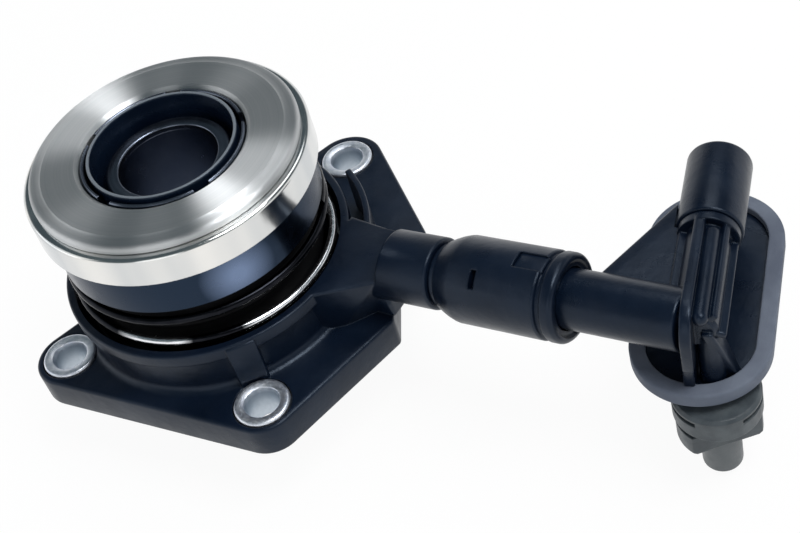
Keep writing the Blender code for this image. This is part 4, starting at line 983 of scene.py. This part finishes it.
# %% Turn the boot
FOLDS, FOLD_STEPS = 4, 12
root, wall, cuff_low = 0.0228, 0.0007, 0.0100
first_fold, last_fold = 0.0150, 0.0368
outside, inside = [(root + wall, cuff_low)], [(root, cuff_low)]
for index in range(FOLDS * FOLD_STEPS + 1):
    share_up = index / (FOLDS * FOLD_STEPS)
    fold = 0.5 - 0.5 * math.cos(2.0 * math.pi * FOLDS * share_up)
    height = first_fold + (last_fold - first_fold) * share_up
    outside.append((root + wall + 0.0025 * fold, height))
    inside.append((root + 0.0024 * fold, height))
outside += [(0.0257, 0.0376), (0.0261, 0.0382)]
inside += [(root, 0.0376), (root, 0.0382)]
boot = turn_outline("dust_boot_bellows", outside + inside[::-1], 120)
dress(boot, black_rubber, "black_rubber", "base", "dust_boot")
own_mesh(boot)

# %% [markdown]
# ## Quick connector
# The connector plugs into the boss: a thin neck, a cone, and a barrel with a groove near its mouth.
# A window on top shows the spring clip, and two narrow latch slots face each other across the
# barrel. It is turned upright and then laid into the inlet's frame.

# %% Make the connector
neck, cone, barrel, end = 0.0563, 0.0574, 0.0625, 0.0861
band = end - 0.0041
TUBE_SEAT = 0.0651
SPIGOT_R, NECK_R, GROOVE_R, END_EDGE, MOUTH_R = 0.0055, 0.0066, 0.00830, 0.0011, 0.00642
profile = [
    (0.0022, 0.0460), (SPIGOT_R, 0.0460), (SPIGOT_R, 0.0490), (0.0040, 0.0490), (0.0040, 0.0510),
    (SPIGOT_R, 0.0510), (SPIGOT_R, neck), (NECK_R, neck), (NECK_R, cone), (0.0074, cone + 0.0004),
    (0.0080, cone + 0.0016), (0.0086, cone + 0.0030), (0.0090, cone + 0.0043), (BARREL_R, barrel),
    (BARREL_R, band - 0.0003), (0.00894, band), (GROOVE_R, band + 0.0002),
    (GROOVE_R, band + 0.0011), (0.00894, band + 0.0013), (BARREL_R, band + 0.0016),
]
profile += arc((BARREL_R - END_EDGE, end - END_EDGE), END_EDGE, 0.0, 90.0, 6)
profile += [(0.0078, end), (0.0074, end - 0.0005), (MOUTH_R, end - 0.0005)]
profile += [(MOUTH_R, TUBE_SEAT), (0.0022, TUBE_SEAT)]
connector = turn_outline("connector_moulding", profile, 96)
window = slab("clip_window", (-0.0114, -0.00724), (-0.0020, 0.0020), (0.0757, 0.0824))
combine(connector, window, "DIFFERENCE")
for turn_angle in (219.0, 39.0):
    slot = slab("latch_slot", (0.0070, 0.0110), (-0.0019, 0.0019), (0.0673, 0.0686))
    settle(slot, Matrix.Rotation(math.radians(turn_angle), 4, "Z"))
    combine(connector, slot, "DIFFERENCE")
settle(connector, INLET)
dress(connector, housing_black, "black_plastic", "base", "connector_body")

clip_arch = slab("connector_spring_clip", (-0.0086, -0.0075), (-0.0021, 0.0021), (0.0758, 0.0823))
round_edges(clip_arch, 0.0003, 3)
settle(clip_arch, INLET)
dress(clip_arch, piston_black, "spring_steel", "base", "connector_clip")

# %% [markdown]
# ## Adapter
# The adapter is one moulding: the inlet tube, an elbow, a ribbed arm that carries the line port, a
# flat plate for the grommet, a web between tube and port, and two legs under the elbow. A thin
# blade closes the tube's end and runs on beside the arm. A round-ended post lies on the ribs.

# %% Make the adapter
TUBE_EDGE, ARM_END, SPIGOT_IN_PORT_R = 0.0006, 0.0230, 0.0030
tube_end = ELBOW_AT - 0.0018
tube = [(0.0058, TUBE_SEAT + FIT), (TUBE_R, TUBE_SEAT + 2.0 * FIT), (TUBE_R, tube_end - TUBE_EDGE)]
tube += arc((TUBE_R - TUBE_EDGE, tube_end - TUBE_EDGE), TUBE_EDGE, 15.0, 90.0, 5)
adapter = turn_outline("adapter_moulding", tube, 96, solid=True)
settle(adapter, INLET)
arm = turn_outline("arm", [
    (0.0036, -0.0022), (ARM_R, -0.0014), (ARM_R, 0.0212), (ARM_SLEEVE_R, 0.0212),
    (ARM_SLEEVE_R, ARM_END), (SPIGOT_IN_PORT_R, ARM_END), (SPIGOT_IN_PORT_R, 0.0288),
], 64, solid=True)
settle(arm, ARM)
combine(adapter, arm, "UNION")
RIBS, RIB_REACH, RIB_HALF, STAR_CORE_R = 6, 0.00584, 0.0007, 0.0014
star = []
for index in range(RIBS):
    angle = 2.0 * math.pi * index / RIBS + math.pi / 12.0
    out = Vector((math.cos(angle), math.sin(angle)))
    across = Vector((-out.y, out.x)) * RIB_HALF
    between = angle + math.pi / RIBS
    star += [tuple(out * RIB_REACH - across), tuple(out * RIB_REACH + across)]
    star.append((STAR_CORE_R * math.cos(between), STAR_CORE_R * math.sin(between)))
ribs = cut_out("arm_ribs", star, -0.0019, 0.0221)
round_edges(ribs, 0.00035, 3, 60.0)
settle(ribs, ARM)
combine(adapter, ribs, "UNION")
print("adapter with ribbed arm, faces", len(adapter.data.polygons))

# %% Add the blade and the round-ended post
edge = [(0.0222, 0.0059)] + arc((0.0, 0.0), 0.0065, 82.0, 180.0, 14)
edge += [(-0.0065, -0.0070), (-0.0030, -0.0070), (-0.0020, -0.0030), (0.0222, 0.0010)]
blade = cut_out("blade", edge[::-1], -0.0023, -0.0001)
round_edges(blade, 0.0004, 3, 20.0)
settle(blade, ELBOW @ STOOD_ALONG_X)
combine(adapter, blade, "UNION")
drop_selection()
bpy.ops.mesh.primitive_uv_sphere_add(
    segments=32, ring_count=20, radius=0.0016, location=(0.0, 0.0, 0.0),
)
knob = bpy.context.object
knob.name = "post_end"
bpy.ops.object.mode_set(mode="EDIT")
pick(lambda middle, vert: middle.y > 0.0001, "VERT")
bpy.ops.transform.translate(value=(0.0, 0.0210, 0.0))
bpy.ops.object.mode_set(mode="OBJECT")
settle(knob, ELBOW @ Matrix.Translation((0.0013, -0.0022, 0.0040)))
combine(adapter, knob, "UNION")
print("adapter with blade and post, faces", len(adapter.data.polygons))

# %% [markdown]
# ## Adapter: plate, column, web and legs
# The plate is a round disc whose far half is pulled away into a stadium. With no points exactly on
# the dividing line, the long sides come out straight.

# %% Add the plate and the column
PLATE_TOP, PLATE_BOTTOM = -0.0156, -0.0174
SPAN = 0.02765
RIM = ELBOW @ Matrix.Translation((-0.00105, 0.00715, 0.0))


def stretch(piece, distance):
    """Pull the far half of a round shape along Y."""
    take(piece)
    bpy.ops.object.mode_set(mode="EDIT")
    pick(lambda middle, vert: middle.y > 0.0, "VERT")
    bpy.ops.transform.translate(value=(0.0, distance, 0.0))
    bpy.ops.object.mode_set(mode="OBJECT")


plate = turn_outline("plate", [(0.0112, PLATE_BOTTOM), (PLATE_R, PLATE_TOP)], 120, solid=True)
stretch(plate, SPAN)
settle(plate, RIM)
combine(adapter, plate, "UNION")
column = turn_outline("column", [
    (0.0027, -0.0225), (0.0027, -0.0165), (COLUMN_R, -0.0160), (COLUMN_R, -0.0018),
], 48, solid=True)
settle(column, BLEED)
combine(adapter, column, "UNION")
print("plate and column added, faces", len(adapter.data.polygons))

# %% Add the web and the legs
side = Matrix.Rotation(math.radians(-ELBOW_TURN), 3, "Z") @ Vector((-0.0230, 0.0, 0.0))
web = cut_out("web", [(0.0, 0.0), (-0.00602, 0.0312), (side.x, side.y)], -0.00125, 0.00125)
round_edges(web, 0.0004, 3)
settle(web, ELBOW)
combine(adapter, web, "UNION")
LEG_BACK, LEG_LENGTH = 0.0022, 0.0165
# where each leg's front edge is at its top, and where at its foot
LEGS = (((-0.0012, -0.0060), (-0.0019, -0.0040)), ((0.0022, -0.0032), (0.0063, 0.0001)))
for top, foot in LEGS:
    leg = slab("leg", (-0.0011, 0.0011), (0.0, LEG_BACK), (-LEG_LENGTH, 0.0))
    for vert in leg.data.vertices:
        x, y = top if vert.co.z > -LEG_LENGTH / 2.0 else foot
        vert.co.x += x
        vert.co.y = y if vert.co.y < LEG_BACK / 2.0 else LEG_BACK
    round_edges(leg, 0.0004, 3)
    settle(leg, ELBOW)
    combine(adapter, leg, "UNION")
room = turn_outline("port_room", [
    (0.00315, 0.02315), (0.00690, 0.02315), (0.00690, 0.0450), (0.00315, 0.0450),
], 64)
settle(room, ARM)
combine(adapter, room, "DIFFERENCE")
dress(adapter, adapter_black, "adapter_plastic", "base", "adapter")

# %% [markdown]
# ## Line port and grommet
# The port is a plain tube end for the hydraulic line. The grommet is a rubber rim round the plate,
# stretched in the same way.

# %% Make the port and the grommet
port_low, port_high, port_bottom = 0.0233, 0.0427, 0.0307
SPIGOT_ROOM_R = 0.0033
port = [(SPIGOT_ROOM_R, port_low), (0.0057, port_low)]
port += arc((PORT_R - 0.0004, port_low + 0.0004), 0.0004, -75.0, 0.0, 4)
port += arc((PORT_R - 0.0009, port_high - 0.0009), 0.0009, 0.0, 90.0, 6)
port += arc((PORT_BORE_R + 0.0005, port_high - 0.0005), 0.0005, 90.0, 180.0, 4)
port += [(PORT_BORE_R, port_bottom), (SPIGOT_ROOM_R, port_bottom)]
port = turn_outline("line_port_tube", port, 96)
settle(port, ARM)
dress(port, adapter_black, "adapter_plastic", "base", "line_port")

GROMMET_LIP_R, SLOT_R, SLOT_LOW, GROMMET_BORE_R = 0.0107, 0.0116, -0.0177, 0.0108
rim_top = PLATE_TOP + 0.0019
rim_low = rim_top - 0.0034
skirt = rim_low - 0.0017
section = arc((GROMMET_R - 0.0006, rim_low + 0.0006), 0.0006, -90.0, 0.0, 5)
section += arc((GROMMET_R - 0.0005, rim_top - 0.0005), 0.0005, 0.0, 90.0, 5)
section += arc((GROMMET_LIP_R + 0.0003, rim_top - 0.0003), 0.0003, 90.0, 180.0, 4)
section += [(GROMMET_LIP_R, PLATE_TOP + 0.0002), (SLOT_R, PLATE_TOP + 0.0002)]
section += [(SLOT_R, SLOT_LOW), (GROMMET_BORE_R, SLOT_LOW)]
section += [(GROMMET_BORE_R, skirt), (0.0114, skirt), (0.0120, rim_low + 0.0002)]
grommet = turn_outline("grommet_rim", section, 144)
stretch(grommet, SPAN)
settle(grommet, RIM)
dress(grommet, grey_rubber, "grey_rubber", "base", "grommet")

# %% [markdown]
# ## Bleed valve
# Under the plate hangs a grey bleed valve: a collar with three slots cut along its rim, and a screw
# with a round head, two flats and a nipple. Both are turned, and the slots and flats are cut out.

# %% Make the slotted collar
BLEED_R, BLEED_BORE_R, CHAMFER, SLOT_HALF = 0.00885, 0.0030, 0.0006, 34.0
collar_top = skirt - FIT
collar_low = collar_top - 0.0062
body = [(BLEED_BORE_R, collar_low), (BLEED_R - CHAMFER, collar_low)]
body += [(BLEED_R, collar_low + CHAMFER), (BLEED_R, collar_top - CHAMFER)]
body += [(BLEED_R - CHAMFER, collar_top), (BLEED_BORE_R, collar_top)]
bleed_body = turn_outline("bleed_collar", body, 96)
for middle_angle in (215.0, 345.0, 90.0):
    near = arc((0.0, 0.0), BLEED_R - 0.0026, -SLOT_HALF, SLOT_HALF, 16)
    far = arc((0.0, 0.0), BLEED_R + 0.0016, SLOT_HALF, -SLOT_HALF, 16)
    slot = cut_out("bleed_slot", near + far, collar_top - 0.0024, collar_top - 0.0012)
    settle(slot, Matrix.Rotation(math.radians(middle_angle), 4, "Z"))
    combine(bleed_body, slot, "DIFFERENCE")
settle(bleed_body, BLEED)
dress(bleed_body, warm_grey, "bleed_plastic", "base", "bleed_body")

# %% Make the bleed screw
NIPPLE_R, NIPPLE_BORE_R, HEAD_R, HEAD_NECK_R = 0.0041, 0.0012, 0.0085, 0.0066
head_top = collar_low - FIT
head_low = head_top - 0.0061
tip = head_low - 0.0101
screw = [(NIPPLE_BORE_R, tip), (0.0034, tip)]
screw += arc((NIPPLE_R - 0.0008, tip + 0.0008), 0.0008, -75.0, 0.0, 4)
screw += [(NIPPLE_R, head_low), (0.0079, head_low), (HEAD_R, head_low + 0.0006)]
screw += [(HEAD_R, head_top - 0.0009), (HEAD_NECK_R, head_top - 0.0009), (HEAD_NECK_R, head_top)]
screw.append((NIPPLE_BORE_R, head_top))
bleed_screw = turn_outline("bleed_screw_head", screw, 96)
for side_angle in (-62.5, 117.5):
    flat = slab(
        "flat", (0.0046, 0.0130), (-0.0130, 0.0130), (head_low - FIT, head_top - 0.00045),
    )
    settle(flat, Matrix.Rotation(math.radians(side_angle), 4, "Z"))
    combine(bleed_screw, flat, "DIFFERENCE")
settle(bleed_screw, BLEED)
dress(bleed_screw, warm_grey, "bleed_plastic", "bleed", "bleed_screw")

# %% [markdown]
# ## Pieces that stay as the CAD made them
# The balls, the cage, the fixed race and the seals are inside, where only a chink of them can ever
# show. Their CAD shapes are right, so they stay and get their real finishes.

# %% Dress the inner nodes
inner = {"fixed_race": shell_steel, "ball_cage": black_rubber, "piston_seal": black_rubber,
         "sleeve_o_ring": black_rubber, "connector_o_ring": black_rubber}
BALLS = 14
for index in range(BALLS):
    inner["ball_%02d" % (index + 1)] = shell_steel
for name, finish in inner.items():
    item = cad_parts[name]
    item.data.materials.clear()
    item.data.materials.append(finish)
print(len(inner), "inner nodes dressed")
